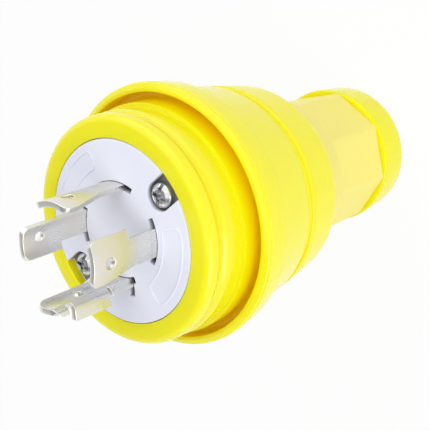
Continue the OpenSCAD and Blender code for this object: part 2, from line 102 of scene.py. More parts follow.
class Value:
    """A number in a node graph. Arithmetic on it adds Math nodes."""

    def __init__(self, graph: "NodeGraph", socket: Socket) -> None:
        """Wraps one of the graph's output sockets, which carries a number."""
        self.graph = graph
        self.socket = socket

    def __add__(self, other: "Number") -> "Value":
        """Returns self + other."""
        return self.graph.math("ADD", self, other)

    __radd__ = __add__

    def __mul__(self, other: "Number") -> "Value":
        """Returns self * other."""
        return self.graph.math("MULTIPLY", self, other)

    __rmul__ = __mul__

    def __sub__(self, other: "Number") -> "Value":
        """Returns self - other."""
        return self.graph.math("SUBTRACT", self, other)

    def __rsub__(self, other: "Number") -> "Value":
        """Returns other - self."""
        return self.graph.math("SUBTRACT", other, self)

    def __truediv__(self, other: "Number") -> "Value":
        """Returns self / other."""
        return self.graph.math("DIVIDE", self, other)

    def power(self, exponent: "Number") -> "Value":
        """Returns self to the power of exponent."""
        return self.graph.math("POWER", self, exponent)

    def clamped(self) -> "Value":
        """Returns self held between 0 and 1."""
        return self.graph.math("MULTIPLY", self, 1.0, clamp=True)


Number = Value | float


class NodeGraph:
    """A node tree built in code."""

    tree: bpy.types.NodeTree
    prefix = "ShaderNode"

    def node(self, kind: str, settings: dict | None = None, inputs: dict | None = None) -> bpy.types.Node:
        """Adds a node.

        Args:
            kind: the node's type, without its prefix where that is the graph's own.
            settings: attributes such as a Math node's operation, which are set first.
            inputs: socket name or number to a plain value, a Value or a socket.

        Returns:
            The new node.
        """
        full = kind if kind.startswith("ShaderNode") else self.prefix + kind
        node = self.tree.nodes.new(full)
        for key, value in (settings or {}).items():
            setattr(node, key, value)
        for key, value in (inputs or {}).items():
            self.feed(node.inputs[key], value)
        return node

    def out(self, kind: str, inputs: dict | None = None) -> Socket:
        """Adds a node and returns its first output."""
        return self.node(kind, None, inputs).outputs[0]

    def feed(self, socket: Socket, value: object) -> None:
        """Links or sets an input socket.

        Args:
            socket: the input.
            value: a Value or socket to link, or a plain value to set.
        """
        if isinstance(value, Value):
            self.tree.links.new(value.socket, socket)
        elif isinstance(value, Socket):
            self.tree.links.new(value, socket)
        elif isinstance(value, tuple) and len(value) == 3 and len(socket.default_value) == 4:
            socket.default_value = (*value, 1.0)
        else:
            socket.default_value = value

    def math(self, operation: str, *values: Number, clamp: bool = False) -> Value:
        """Adds a Math node and returns its result.

        Args:
            operation: the node's operation.
            values: its inputs, in order.
            clamp: holds the result between 0 and 1.

        Returns:
            The result.
        """
        settings = {"operation": operation, "use_clamp": clamp}
        node = self.node("ShaderNodeMath", settings, dict(enumerate(values)))
        return Value(self, node.outputs[0])

    def step(self, value: Value, low: float, high: float) -> Value:
        """Returns a smooth rise from 0 at low to 1 at high.

        Args:
            value: the number to read.
            low: where the rise starts.
            high: where it ends.

        Returns:
            The rise.
        """
        node = self.node(
            "ShaderNodeMapRange",
            {"interpolation_type": "SMOOTHSTEP"},
            {"Value": value, "From Min": low, "From Max": high},
        )
        return Value(self, node.outputs["Result"])


    def seen_by_eye(self) -> Value:
        """Returns 1 for a ray straight from the camera."""
        return Value(self, self.node("LightPath").outputs["Is Camera Ray"])

    def seen_by_mirror(self) -> Value:
        """Returns 1 for a ray that comes by way of metal or glass."""
        rays = self.node("LightPath").outputs
        return (Value(self, rays["Is Glossy Ray"]) + Value(self, rays["Is Transmission Ray"])).clamped()


class Graph(NodeGraph):
    """The node graph of one material."""

    def __init__(self, name: str) -> None:
        """Makes an empty material with an output.

        Args:
            name: the material's name.
        """
        self.material = bpy.data.materials.new(name)
        self.material.use_nodes = True
        self.tree = self.material.node_tree
        self.tree.nodes.clear()
        self.output = self.node("OutputMaterial")

    def band(self, value: Value, low: float, high: float, soft: float) -> Value:
        """Returns 1 between low and high, falling to 0 over soft on both sides."""
        rise = self.step(value, low - soft, low)
        return rise * (1.0 - self.step(value, high, high + soft))

    def mix(self, factor: Number, first: object, second: object) -> Socket:
        """Mixes two colours.

        Args:
            factor: 0 gives the first colour, 1 the second.
            first: a colour or colour socket.
            second: a colour or colour socket.

        Returns:
            The colour socket of the mix.
        """
        node = self.node("Mix", {"data_type": "RGBA"})
        self.feed(node.inputs[0], factor)
        self.feed(node.inputs[6], first)
        self.feed(node.inputs[7], second)
        return node.outputs[2]

    def place(self) -> Socket:
        """Returns the point's place on the object, in metres."""
        return self.node("TexCoord").outputs["Object"]

    def axes(self) -> tuple[Value, Value, Value]:
        """Returns the three coordinates of the point, in millimetres.

        Returns:
            The coordinates along X, Y and Z.
        """
        split = self.node("SeparateXYZ", None, {0: self.place()})
        x, y, z = (Value(self, out) * (1.0 / MM) for out in split.outputs)
        return x, y, z

    def radius(self) -> Value:
        """Returns the point's distance from the plug's axis, in millimetres."""
        x, y, _ = self.axes()
        return (x * x + y * y).power(0.5)

    def noise(self, scale: float, detail: float = 2.0, stretch: Corner | None = None) -> Value:
        """Returns smooth noise on the object's own coordinates.

        Args:
            scale: number of cells in a metre.
            detail: number of finer layers.
            stretch: scale of each axis, for grain that runs one way.

        Returns:
            The noise, about 0.5 on average.
        """
        where = self.place()
        if stretch is not None:
            where = self.out("Mapping", {"Vector": where, "Scale": stretch})
        return Value(self, self.out("TexNoise", {"Vector": where, "Scale": scale, "Detail": detail}))

    def bump(self, height: Value, distance_mm: float) -> Socket:
        """Returns a normal bent by a height from 0 to 1, where 1 stands out by the distance."""
        return self.out("Bump", {"Height": height, "Distance": distance_mm * MM})

    def surface(self, inputs: dict) -> Material:
        """Closes the graph with a Principled shader and returns the finished material."""
        self.feed(self.output.inputs["Surface"], self.out("BsdfPrincipled", inputs))
        return self.material


# ---------------------------------------------------------------- finishes


@dataclass(frozen=True)
class MouldedFinish:
    """Moulded plastic or elastomer: even colour, fine grain, soft gloss patches, and a second tone for
    random mottle and for painted shade in recesses.
    """

    name: str
    colour: Colour
    mottle_and_shade_tone: Colour
    roughness: float
    spread: float
    grain_mm: float
    relief_mm: float
    mottle: float = 0.075
    specular: float = 0.5
    glow: float = 0.0
    glow_reach: Colour = (1.0, 0.5, 0.03)
    glow_mm: float = 5.0
    cloud_scale: float = 60.0
    cloud_edge: Point = (0.35, 0.75)
    gloss_scale: float = 140.0

    def material(self) -> Material:
        """Makes the material of this finish.

        Returns:
            The material.
        """
        graph = Graph(self.name)
        cloud = graph.step(graph.noise(self.cloud_scale, 3.0), *self.cloud_edge)
        # Random mottle between the two tones; the painted recess shade goes over it below.
        shade = graph.mix(cloud * self.mottle, self.colour, self.mottle_and_shade_tone)
        grain = graph.noise(1.0 / (self.grain_mm * MM), 4.0)
        rough = self.roughness + (graph.noise(self.gloss_scale, 4.0) - 0.5) * (2.0 * self.spread)
        return graph.surface(
            {
                # The second tone goes on again as painted shade wherever recess() marks a recess.
                "Base Color": graph.mix(self.recess(graph), shade, self.mottle_and_shade_tone),
                "Roughness": rough.clamped(),
                "Normal": graph.bump(grain, self.relief_mm),
                "Specular IOR Level": self.specular,
                "Subsurface Weight": self.glow,
                "Subsurface Radius": self.glow_reach,
                "Subsurface Scale": self.glow_mm * MM,
            }
        )

    def recess(self, graph: Graph) -> Number:
        """Returns the share of painted recess shade at the point, from 0 to 1; none on a plain moulding.
        """
        return 0.0


@dataclass(frozen=True)
class JacketFinish(MouldedFinish):
    """Yellow elastomer with painted shade in its ring channel and, fainter, in its front groove."""

    channel_r: Point = (29.0, 31.0)
    channel_z: Point = (78.0, 79.0)
    clear_z: Point = (84.5, 88.8)
    groove_z: Point = (94.6, 96.2)
    groove_share: float = 0.3
    fade: float = 0.4

    def recess(self, graph: Graph) -> Number:
        """Returns the painted shade: 1 in the ring channel and a little in the front groove.

        Args:
            graph: the material's graph.

        Returns:
            The share of the painted shade tone.
        """
        z = graph.axes()[2]
        height = graph.step(z, *self.channel_z) * (1.0 - graph.step(z, *self.clear_z))
        width = graph.band(graph.radius(), *self.channel_r, self.fade)
        groove = graph.band(z, *self.groove_z, self.fade) * self.groove_share
        return (height * width + groove).clamped()


@dataclass(frozen=True)
class FaceFinish(MouldedFinish):
    """White nylon with painted shade in its slots and notches."""

    # Heights over which the painted shade fades out towards the face.
    painted_shade_z: Point = (98.4, 99.75)
    rim_r: Point = (22.1, 22.4)

    def recess(self, graph: Graph) -> Number:
        """Returns the painted shade: how far the point lies behind the face, from 0 to 1, but not at the
        rim.
        """
        depth = 1.0 - graph.step(graph.axes()[2], *self.painted_shade_z)
        return depth * (1.0 - graph.step(graph.radius(), *self.rim_r))


@dataclass(frozen=True)
class PlatedFinish:
    """Plated metal: brushed along the axis, with warm patches."""

    name: str
    colour: Colour
    warm: Colour
    roughness: float
    brushed: float = 0.06
    line_mm: float = 0.0006
    line_scale: float = 5200.0
    line_stretch: Corner = (1.0, 1.0, 0.04)
    patch_scale: float = 110.0
    patch_edge: Point = (0.45, 0.7)
    patch_share: float = 0.4
    patch_wear: float = 0.05

    def material(self) -> Material:
        """Makes the material of this finish.

        Returns:
            The material.
        """
        graph = Graph(self.name)
        patches = graph.step(graph.noise(self.patch_scale, 3.0), *self.patch_edge)
        lines = graph.noise(self.line_scale, 2.0, self.line_stretch)
        rough = self.roughness + (lines - 0.5) * (2.0 * self.brushed) + patches * self.patch_wear
        return graph.surface(
            {
                "Base Color": graph.mix(patches * self.patch_share, self.colour, self.warm),
                "Metallic": 1.0,
                "Roughness": rough.clamped(),
                "Normal": graph.bump(lines, self.line_mm),
            }
        )


@dataclass(frozen=True)
class LacquerFinish:
    """Coloured lacquer over metal, a little uneven."""

    name: str
    colour: Colour
    dark: Colour
    cloud_scale: float = 900.0
    cloud_edge: Point = (0.4, 0.7)
    metallic: float = 0.6
    roughness: Point = (0.25, 0.15)
    relief_mm: float = 0.01

    def material(self) -> Material:
        """Makes the material of this finish.

        Returns:
            The material.
        """
        graph = Graph(self.name)
        cloud = graph.noise(self.cloud_scale, 3.0)
        least, spread = self.roughness
        return graph.surface(
            {
                "Base Color": graph.mix(graph.step(cloud, *self.cloud_edge), self.colour, self.dark),
                "Metallic": self.metallic,
                "Roughness": least + cloud * spread,
                "Normal": graph.bump(cloud, self.relief_mm),
            }
        )


class Palette:
    """The plug's finishes, each made once."""

    def __init__(self) -> None:
        """Makes every material."""
        # amber is also the jacket's painted channel and groove shade; on the boot and housing it is only
        # random mottle.
        lemon, amber = (0.93, 0.86, 0.002), (1.0, 0.74, 0.0)
        soft = {"roughness": 0.2, "spread": 0.04, "grain_mm": 0.45, "relief_mm": 0.006, "glow": 0.3}
        self.jacket = JacketFinish("lemon_elastomer", lemon, amber, specular=0.6, **soft).material()
        self.boot = MouldedFinish("boot_elastomer", lemon, amber, specular=0.35, **soft).material()
        yellow = (0.93, 0.86, 0.005)
        nylon = {"roughness": 0.26, "spread": 0.05, "grain_mm": 0.6, "relief_mm": 0.008}
        self.housing = MouldedFinish("lemon_nylon", yellow, amber, specular=0.42, **nylon).material()
        tone, mottle_and_shade_tone = (0.95, 0.85, 0.22), (0.93, 0.77, 0.13)
        self.nut = MouldedFinish("pale_nylon", tone, mottle_and_shade_tone, 0.5, 0.06, 0.35, 0.008, specular=0.3).material()
        # The face's dark second tone is painted shade in its slots and notches, with faint mottle.
        tone, mottle_and_shade_tone = (0.84, 0.86, 0.98), (0.24, 0.235, 0.225)
        self.face = FaceFinish("white_nylon", tone, mottle_and_shade_tone, 0.42, 0.06, 0.4, 0.006, mottle=0.03).material()
        tone, mottle_and_shade_tone = (0.12, 0.12, 0.125), (0.07, 0.07, 0.07)
        self.carrier = MouldedFinish("grey_insulator", tone, mottle_and_shade_tone, 0.5, 0.08, 0.5, 0.02).material()
        tone, mottle_and_shade_tone = (0.80, 0.80, 0.76), (0.66, 0.66, 0.62)
        self.washer = MouldedFinish("acetal", tone, mottle_and_shade_tone, 0.3, 0.05, 0.6, 0.008).material()
        tone, mottle_and_shade_tone = (0.035, 0.035, 0.04), (0.02, 0.02, 0.022)
        self.collet = MouldedFinish("black_nylon", tone, mottle_and_shade_tone, 0.45, 0.08, 0.4, 0.02).material()
        tone, mottle_and_shade_tone = (0.02, 0.02, 0.022), (0.01, 0.01, 0.01)
        self.rubber = MouldedFinish("black_rubber", tone, mottle_and_shade_tone, 0.6, 0.1, 0.4, 0.03).material()
        tone, warm = (0.79, 0.78, 0.74), (0.77, 0.71, 0.54)
        self.blade = PlatedFinish("blade_nickel", tone, warm, 0.27, 0.05).material()
        tone, warm = (0.66, 0.66, 0.68), (0.5, 0.5, 0.52)
        self.screw = PlatedFinish("screw_nickel", tone, warm, 0.2, 0.04).material()
        tone, warm = (0.68, 0.50, 0.18), (0.5, 0.34, 0.1)
        self.brass = PlatedFinish("clamp_brass", tone, warm, 0.34).material()
        tone, dark = (0.03, 0.22, 0.07), (0.018, 0.132, 0.042)
        self.green = LacquerFinish("green_lacquer", tone, dark).material()


# ---------------------------------------------------------------- shape tools


def rounded(corners: Sequence[Corner], steps: int = 6) -> list[Point]:
    """Rounds the corners of a closed outline.

    Args:
        corners: x, y and rounding radius of each corner, in order.
        steps: straight steps in each rounding.

    Returns:
        The outline's points.
    """
    points: list[Point] = []
    for i, (x, y, radius) in enumerate(corners):
        here = Vector((x, y))
        back = (Vector(corners[i - 1][:2]) - here).normalized()
        ahead = (Vector(corners[(i + 1) % len(corners)][:2]) - here).normalized()
        if radius <= 0.0 or back.dot(ahead) < -0.9999:
            points.append((x, y))
            continue
        half = math.acos(max(-1.0, min(1.0, back.dot(ahead)))) / 2
        centre = here + (back + ahead).normalized() * (radius / math.sin(half))
        start = here + back * (radius / math.tan(half)) - centre
        end = here + ahead * (radius / math.tan(half)) - centre
        first = math.atan2(start.y, start.x)
        sweep = (math.atan2(end.y, end.x) - first + math.pi) % math.tau - math.pi
        for k in range(steps + 1):
            turn = first + sweep * k / steps
            points.append((centre.x + radius * math.cos(turn), centre.y + radius * math.sin(turn)))
    return points


def outward(back: Vector, here: Vector, ahead: Vector) -> Vector:
    """Returns the move that shifts both sides at a counter-clockwise outline's point out by 1."""
    first, second = (here - back).normalized(), (ahead - here).normalized()
    return Vector((first.y + second.y, -first.x - second.x)) / (1.0 + first.dot(second))


def grown(outline: Sequence[Point], margin: float) -> list[Point]:
    """Returns a closed counter-clockwise outline with its sides moved outwards by a margin.

    Args:
        outline: its points.
        margin: how far the sides move.

    Returns:
        The moved points.
    """
    points = [Vector(point) for point in outline]
    after = [*points[1:], points[0]]
    ways = [outward(*three) for three in zip([points[-1], *points], points, after)]
    return [tuple(here + way * margin) for here, way in zip(points, ways)]


def creased(bm: Shape, sharp_deg: float) -> None:
    """Smooths a mesh's faces and keeps the edges that turn more than an angle sharp.

    Args:
        bm: the mesh.
        sharp_deg: the angle, in degrees.
    """
    for face in bm.faces:
        face.smooth = True
    for edge in bm.edges:
        angle = edge.calc_face_angle(0.0)
        edge.smooth = len(edge.link_faces) == 2 and angle < math.radians(sharp_deg)


def placed(name: str, data: bpy.types.ID) -> Piece:
    """Returns a new object of the scene that shows this data.

    Args:
        name: the object's name.
        data: its mesh, lamp or camera data.

    Returns:
        The object.
    """
    piece = bpy.data.objects.new(name, data)
    bpy.context.scene.collection.objects.link(piece)
    return piece


def finish_mesh(bm: Shape, name: str, sharp_deg: float = 32.0) -> Piece:
    """Closes a mesh built in millimetres and makes it an object.

    Args:
        bm: the mesh, which is freed.
        name: the object's name.
        sharp_deg: edges that turn more than this stay sharp.

    Returns:
        The object, at the origin, in metres.
    """
    bmesh.ops.remove_doubles(bm, verts=bm.verts, dist=1e-4)
    bmesh.ops.recalc_face_normals(bm, faces=bm.faces)
    creased(bm, sharp_deg)
    bm.transform(Matrix.Scale(MM, 4))
    mesh = bpy.data.meshes.new(name)
    bm.to_mesh(mesh)
    bm.free()
    return placed(name, mesh)


def loft(rings: Sequence[Sequence[Vector]], capped: bool = False) -> Shape:
    """Joins closed rings of equal length into a closed skin.

    Args:
        rings: the rings in order.
        capped: closes the two ends with flat faces, where otherwise the last ring joins the first.

    Returns:
        The mesh.
    """
    bm = bmesh.new()
    rows = [[bm.verts.new(p) for p in ring] for ring in rings]
    if capped:
        bm.faces.new(rows[0])
        bm.faces.new(reversed(rows[-1]))
    for row, after in zip(rows, rows[1:] if capped else rows[1:] + rows[:1]):
        for k in range(len(row)):
            m = (k + 1) % len(row)
            bm.faces.new((row[k], row[m], after[m], after[k]))
    return bm


def full_turn(steps: int) -> list[float]:
    """Returns evenly spaced turns in radians, once around."""
    return [math.tau * k / steps for k in range(steps)]


def arc_points(centre: Point, radius: float, turns: Sequence[float]) -> list[Point]:
    """Returns the points of a circle around a centre, one for each turn."""
    return [(centre[0] + radius * math.cos(t), centre[1] + radius * math.sin(t)) for t in turns]


def ring_of(radius: float, z: float, turns: Sequence[float]) -> list[Vector]:
    """Returns the points of a ring around the plug's axis, one for each turn."""
    return [Vector((radius * math.cos(t), radius * math.sin(t), z)) for t in turns]


def turned(corners: Sequence[Corner], segments: int = 192, steps: int = 6) -> Shape:
    """Turns an outline around the plug's axis.

    Args:
        corners: radius, height and rounding of each corner. One that starts on the axis ends there.
        segments: faces around the axis.
        steps: straight steps in each rounding.

    Returns:
        The closed mesh.
    """
    outline = rounded(corners, steps)
    turns = full_turn(segments)
    solid = outline[0][0] == 0.0
    if solid:
        outline = outline[1:-1]
    return loft([ring_of(r, z, turns) for r, z in outline], solid)


def solid_of(outline: Sequence[Point], low: float, high: float) -> Shape:
    """Extrudes a closed outline along Z.

    Args:
        outline: the outline's points in the XY plane.
        low: lower height.
        high: upper height.

    Returns:
        The closed mesh.
    """
    bm = bmesh.new()
    face = bm.faces.new([bm.verts.new((x, y, low)) for x, y in outline])
    lifted = bmesh.ops.extrude_face_region(bm, geom=[face])["geom"]
    moved = [v for v in lifted if isinstance(v, bmesh.types.BMVert)]
    bmesh.ops.translate(bm, verts=moved, vec=(0.0, 0.0, high - low))
    bmesh.ops.recalc_face_normals(bm, faces=bm.faces)
    return bm


def baked(piece: Piece) -> Piece:
    """Replaces a piece's mesh by its evaluated one and drops its modifiers.

    Args:
        piece: the piece.

    Returns:
        The same piece.
    """
    graph = bpy.context.evaluated_depsgraph_get()
    graph.update()
    old = piece.data
    mesh = bpy.data.meshes.new_from_object(piece.evaluated_get(graph))
    piece.modifiers.clear()
    piece.data = mesh
    mesh.name = piece.name
    if isinstance(old, bpy.types.Mesh):
        bpy.data.meshes.remove(old)
    return piece


def carved(piece: Piece, tools: Sequence[Piece], operation: str) -> Piece:
    """Cuts tools out of a piece, or joins them to it.

    Args:
        piece: the piece.
        tools: closed solids, which are removed.
        operation: DIFFERENCE or UNION.

    Returns:
        The piece with its new mesh.
    """
    for tool in tools:
        modifier = piece.modifiers.new("carve", "BOOLEAN")
        modifier.operation = operation
        modifier.solver = "EXACT"
        modifier.object = tool
    baked(piece)
    for tool in tools:
        bpy.data.objects.remove(tool)
    return piece


def evened(piece: Piece, sharp_deg: float = 32.0) -> Piece:
    """Weighs a piece's normals by area, so that its flat faces look flat.

    Args:
        piece: the piece.
        sharp_deg: edges that turn more than this stay sharp.

    Returns:
        The piece with its new mesh.
    """
    bm = bmesh.new()
    bm.from_mesh(piece.data)
    creased(bm, sharp_deg)
    bm.to_mesh(piece.data)
    bm.free()
    modifier = piece.modifiers.new("even", "WEIGHTED_NORMAL")
    modifier.keep_sharp = True
    return baked(piece)


def dress(
    piece: Piece, material: Material, body: Body, slot: str, *nodes: str
) -> Piece:
    """Gives a finished piece its material and body, and hides the CAD nodes it replaces.

    Args:
        piece: the piece.
        material: its material.
        body: the body it moves with.
        slot: the record's material slot; not used.
        nodes: CAD nodes that it stands for.

    Returns:
        The piece.
    """
    piece.data.materials.clear()
    piece.data.materials.append(material)
    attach(piece, body.value)
    if nodes:
        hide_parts(*nodes)
    LOG.info("%s: %d faces, rides on %s", piece.name, len(piece.data.polygons), body.value)
    return piece


# ---------------------------------------------------------------- geometry nodes


class GeometryGraph(NodeGraph):
    """A Geometry Nodes tree built in code, with named inputs."""

    prefix = "GeometryNode"

    def __init__(self, name: str) -> None:
        """Makes an empty tree with a geometry output.

        Args:
            name: the tree's name.
        """
        self.tree = bpy.data.node_groups.new(name, "GeometryNodeTree")
        self.tree.interface.new_socket("Geometry", in_out="OUTPUT", socket_type="NodeSocketGeometry")
        self.start = self.tree.nodes.new("NodeGroupInput")
        self.end = self.tree.nodes.new("NodeGroupOutput")
        self.names: dict[str, str] = {}

    def input(self, name: str, kind: str) -> Socket:
        """Adds a named input.

        Args:
            name: the input's name.
            kind: Float, Int, Object or Material.

        Returns:
            The socket that carries it inside the tree.
        """
        item = self.tree.interface.new_socket(name, in_out="INPUT", socket_type=f"NodeSocket{kind}")
        self.names[name] = item.identifier
        return self.start.outputs[name]

    def numbers(self, *names: str) -> list[Value]:
        """Adds named number inputs and returns them for arithmetic."""
        return [Value(self, self.input(name, "Float")) for name in names]

    def spot(self, x: Number, y: Number, z: Number) -> Socket:
        """Returns a point or a turn from its three parts."""
        return self.out("ShaderNodeCombineXYZ", {"X": x, "Y": y, "Z": z})

    def close(self, geometry: Socket, smooth: bool = True) -> None:
        """Ends the tree with Realize Instances and Set Material.

        Args:
            geometry: the geometry to hand out.
            smooth: shades all of it smooth, where otherwise it keeps its own shading.
        """
        if smooth:
            geometry = self.out("SetShadeSmooth", {0: geometry})
        real = self.out("RealizeInstances", {"Geometry": geometry})
        material = self.input("Material", "Material")
        self.feed(self.end.inputs[0], self.out("SetMaterial", {"Geometry": real, "Material": material}))

    def piece(self, name: str, material: Material, values: dict) -> Piece:
        """Runs the tree once and returns its result as a plain mesh object.

        Args:
            name: the new piece's name.
            material: its material.
            values: the other named inputs' values.

        Returns:
            The piece.
        """
        holder = placed(name, bpy.data.meshes.new(name))
        modifier = holder.modifiers.new("build", "NODES")
        modifier.node_group = self.tree
        for key, value in {**values, "Material": material}.items():
            modifier[self.names[key]] = value
        return baked(holder)


# ---------------------------------------------------------------- sub-assemblies


@dataclass
class Levels:
    """Heights that several sub-assemblies share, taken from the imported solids."""

    face: float
    plate: float
    sleeve_top: float
    ledge: float
    jacket_rear: float
    shell_rear: float
    spigot_rear: float
    nut_front: float
    nut_rear: float

    @classmethod
    def from_frame(cls, fit: float = 0.15) -> "Levels":
        """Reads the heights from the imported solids, in millimetres.

        Args:
            fit: clearance between the shell's rear and the seal ring.

        Returns:
            The heights.
        """

        def low(node: str) -> float:
            """Returns the height of a solid's lower end."""
            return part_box(node)[0].z / MM

        def high(node: str) -> float:
            """Returns the height of a solid's upper end."""
            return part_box(node)[1].z / MM

        return cls(
            face=high("seal_jacket"),
            plate=high("contact_carrier"),
            sleeve_top=low("carrier_gasket"),
            ledge=low("wire_guide"),
            jacket_rear=low("seal_jacket"),
            shell_rear=high("nut_seal_ring") + fit,
            spigot_rear=low("rear_housing"),
            nut_front=high("gland_nut"),
            nut_rear=high("gland_boot"),
        )


@dataclass
class Jacket:
    """Elastomer jacket: front bead, barrel, flange with its ring channel, and taper."""

    levels: Levels
    bore_r: float = 22.65
    bead_r: float = 28.1
    groove_back: float = 4.9
    groove_front: float = 1.7
    groove_rear: float = 1.3
    groove_r: float = 27.4
    barrel_r: float = 28.3
    barrel_rear_r: float = 27.95
    barrel_len: float = 11.6
    step_r: float = 28.9
    step_drop: float = 0.1
    channel_floor: float = 18.8
    channel_draft: float = 0.1
    lip_depth: float = 14.3
    lip_r: float = 31.0
    lip_flat: float = 0.8
    lip_drop: float = 0.1
    flange_r: float = 33.3
    rim_depth: float = 15.45
    skirt_depth: float = 22.65
    skirt_r: float = 31.0
    rear_r: float = 28.9
    rim: tuple[Corner, ...] = (
        (-0.8, -6.8, 0.5),
        (0.0, -0.55, 0.1),
        (-0.3, -0.35, 0.1),
        (-0.08, -0.1, 0.15),
        (-0.15, 0.5, 0.5),
    )

    def build(self, palette: Palette) -> None:
        """Builds and dresses the jacket.

        Args:
            palette: the finishes.
        """
        face, rear = self.levels.face, self.levels.jacket_rear
        groove, step, lip = face - self.groove_back, face - self.barrel_len, face - self.lip_depth
        floor = face - self.channel_floor
        outline: list[Corner] = [
            (self.bore_r, rear, 0.0),
            (self.rear_r, rear, 0.9),
            (self.skirt_r, face - self.skirt_depth, 0.9),
            *((self.flange_r + r, face - self.rim_depth + z, rounding) for r, z, rounding in self.rim),
            (self.lip_r + self.lip_flat, lip, 0.7),
            (self.lip_r, lip - self.lip_drop, 0.35),
            (self.lip_r - 2.0 * self.channel_draft, floor, 0.9),
            (self.step_r + self.channel_draft, floor, 0.9),
            (self.step_r, step - self.step_drop, 0.0),
            (self.barrel_rear_r, step, 0.08),
            (self.barrel_r, groove - self.groove_rear, 1.7),
            (self.groove_r, groove, 1.2),
            (self.bead_r, groove + self.groove_front, 1.5),
            (self.bead_r, face, 2.1),
            (self.bore_r, face, 0.35),
        ]
        piece = finish_mesh(turned(outline, 256, 8), "jacket_moulding")
        dress(piece, palette.jacket, Body.PLUG, "jacket_elastomer", "seal_jacket")


@dataclass
class Housing:
    """Rear housing: shell, sleeve, screw bosses and threaded spigot."""

    levels: Levels
    groove_r: float = 27.9
    shell_front_r: float = 28.7
    shell_rear_r: float = 26.6
    shell_len: float = 13.5
    sleeve_r: float = 22.5
    sleeve_bore_r: float = 19.4
    ledge_w: float = 2.0
    chamber_r: float = 23.1
    wall: float = 3.5
    throat_r: float = 10.5
    spigot_r: float = 15.5
    spigot_core_r: float = 15.0
    spigot_bore_r: float = 12.95
    spigot_bore_len: float = 20.0
    thread_end: Point = (4.5, 4.0)
    thread_pitch: float = 3.0
    thread_turns: float = 7.0
    thread_ridge_r: float = 0.8
    thread_sink: float = 0.15
    thread_start: float = 1.2
    thread_runout: float = 4.0
    boss_r: float = 4.2
    boss_root: float = 1.0
    boss_hole_r: float = 3.05
    boss_hole_depth: float = 8.0

    def build(self, palette: Palette) -> None:
        """Builds and dresses the housing and the thread on its spigot.

        Args:
            palette: the finishes.
        """
        lv = self.levels
        shell_front, throat = lv.shell_rear + self.shell_len, lv.spigot_rear + self.spigot_bore_len
        chamber_floor = lv.shell_rear + self.wall
        relief, full = self.thread_end
        outline: list[Corner] = [
            (self.spigot_bore_r, lv.spigot_rear, 0.3),
            (self.spigot_core_r, lv.spigot_rear, 0.5),
            (self.spigot_core_r, lv.shell_rear - relief, 0.0),
            (self.spigot_r, lv.shell_rear - full, 0.0),
            (self.spigot_r, lv.shell_rear, 0.0),
            (self.shell_rear_r, lv.shell_rear, 2.2),
            (self.shell_front_r, shell_front, 0.9),
            (self.groove_r, shell_front, 0.1),
            (self.groove_r, lv.jacket_rear, 0.0),
            (self.sleeve_r, lv.jacket_rear, 0.0),
            (self.sleeve_r, lv.sleeve_top, 0.2),
            (self.sleeve_bore_r, lv.sleeve_top, 0.2),
            (self.sleeve_bore_r, lv.ledge, 0.0),
            (self.sleeve_bore_r - self.ledge_w, lv.ledge, 0.0),
            (self.sleeve_bore_r - self.ledge_w, lv.ledge - self.ledge_w, 0.0),
            (self.chamber_r, lv.ledge - self.wall, 0.0),
            (self.chamber_r, chamber_floor, 1.5),
            (self.throat_r, chamber_floor, 0.3),
            (self.throat_r, throat, 0.0),
            (self.spigot_bore_r, throat, 0.0),
        ]
        shell = finish_mesh(turned(outline, 224, 6), "housing_moulding")
        carved(shell, self.posts(self.boss_r, lv.ledge - self.boss_root, lv.sleeve_top), "UNION")
        holes = self.posts(self.boss_hole_r, lv.sleeve_top - self.boss_hole_depth, lv.sleeve_top + 1.0)
        evened(carved(shell, holes, "DIFFERENCE"))
        dress(shell, palette.housing, Body.PLUG, "housing_nylon", "rear_housing")
        self.thread(palette)

    def posts(self, radius: float, low: float, high: float) -> list[Piece]:
        """Makes a round post at each screw.

        Args:
            radius: the posts' radius.
            low: their lower end.
            high: their upper end.

        Returns:
            The two posts.
        """
        posts = []
        for side in (0.0, 180.0):
            around = math.radians(SCREW_DEG + side)
            cx, cy = SCREW_CIRCLE_R * math.cos(around), SCREW_CIRCLE_R * math.sin(around)
            circle = arc_points((cx, cy), radius, full_turn(48))
            posts.append(finish_mesh(solid_of(circle, low, high), "post"))
        return posts

    def thread(self, palette: Palette) -> None:
        """Winds the thread's ridge around the spigot with Geometry Nodes.

        Args:
            palette: the finishes.
        """
        graph = GeometryGraph("thread")
        turns, radius, height, ridge = graph.numbers("Turns", "Radius", "Height", "Ridge")
        start, runout = graph.numbers("Start", "Runout")
        sizes = {"Resolution": 96, "Rotations": turns, "Start Radius": radius, "End Radius": radius}
        spiral = graph.out("CurveSpiral", {**sizes, "Height": height})
        lifted = graph.out("SetPosition", {"Geometry": spiral, "Offset": graph.spot(0.0, 0.0, start)})
        along = Value(graph, graph.out("SplineParameter"))
        ends = graph.math("MINIMUM", along, 1.0 - along) * turns * runout
        swept = graph.out(
            "CurveToMesh",
            {
                "Curve": lifted,
                "Profile Curve": graph.out("CurvePrimitiveCircle", {"Resolution": 10, "Radius": ridge}),
                "Scale": graph.math("MAXIMUM", ends.clamped(), 0.05),
                "Fill Caps": True,
            },
        )
        graph.close(swept)
        values = {
            "Turns": self.thread_turns,
            "Radius": (self.spigot_core_r - self.thread_sink) * MM,
            "Height": self.thread_turns * self.thread_pitch * MM,
            "Ridge": self.thread_ridge_r * MM,
            "Start": (self.levels.spigot_rear + self.thread_start) * MM,
            "Runout": self.thread_runout,
        }
        piece = graph.piece("spigot_thread", palette.housing, values)
        dress(piece, palette.housing, Body.PLUG, "housing_nylon")


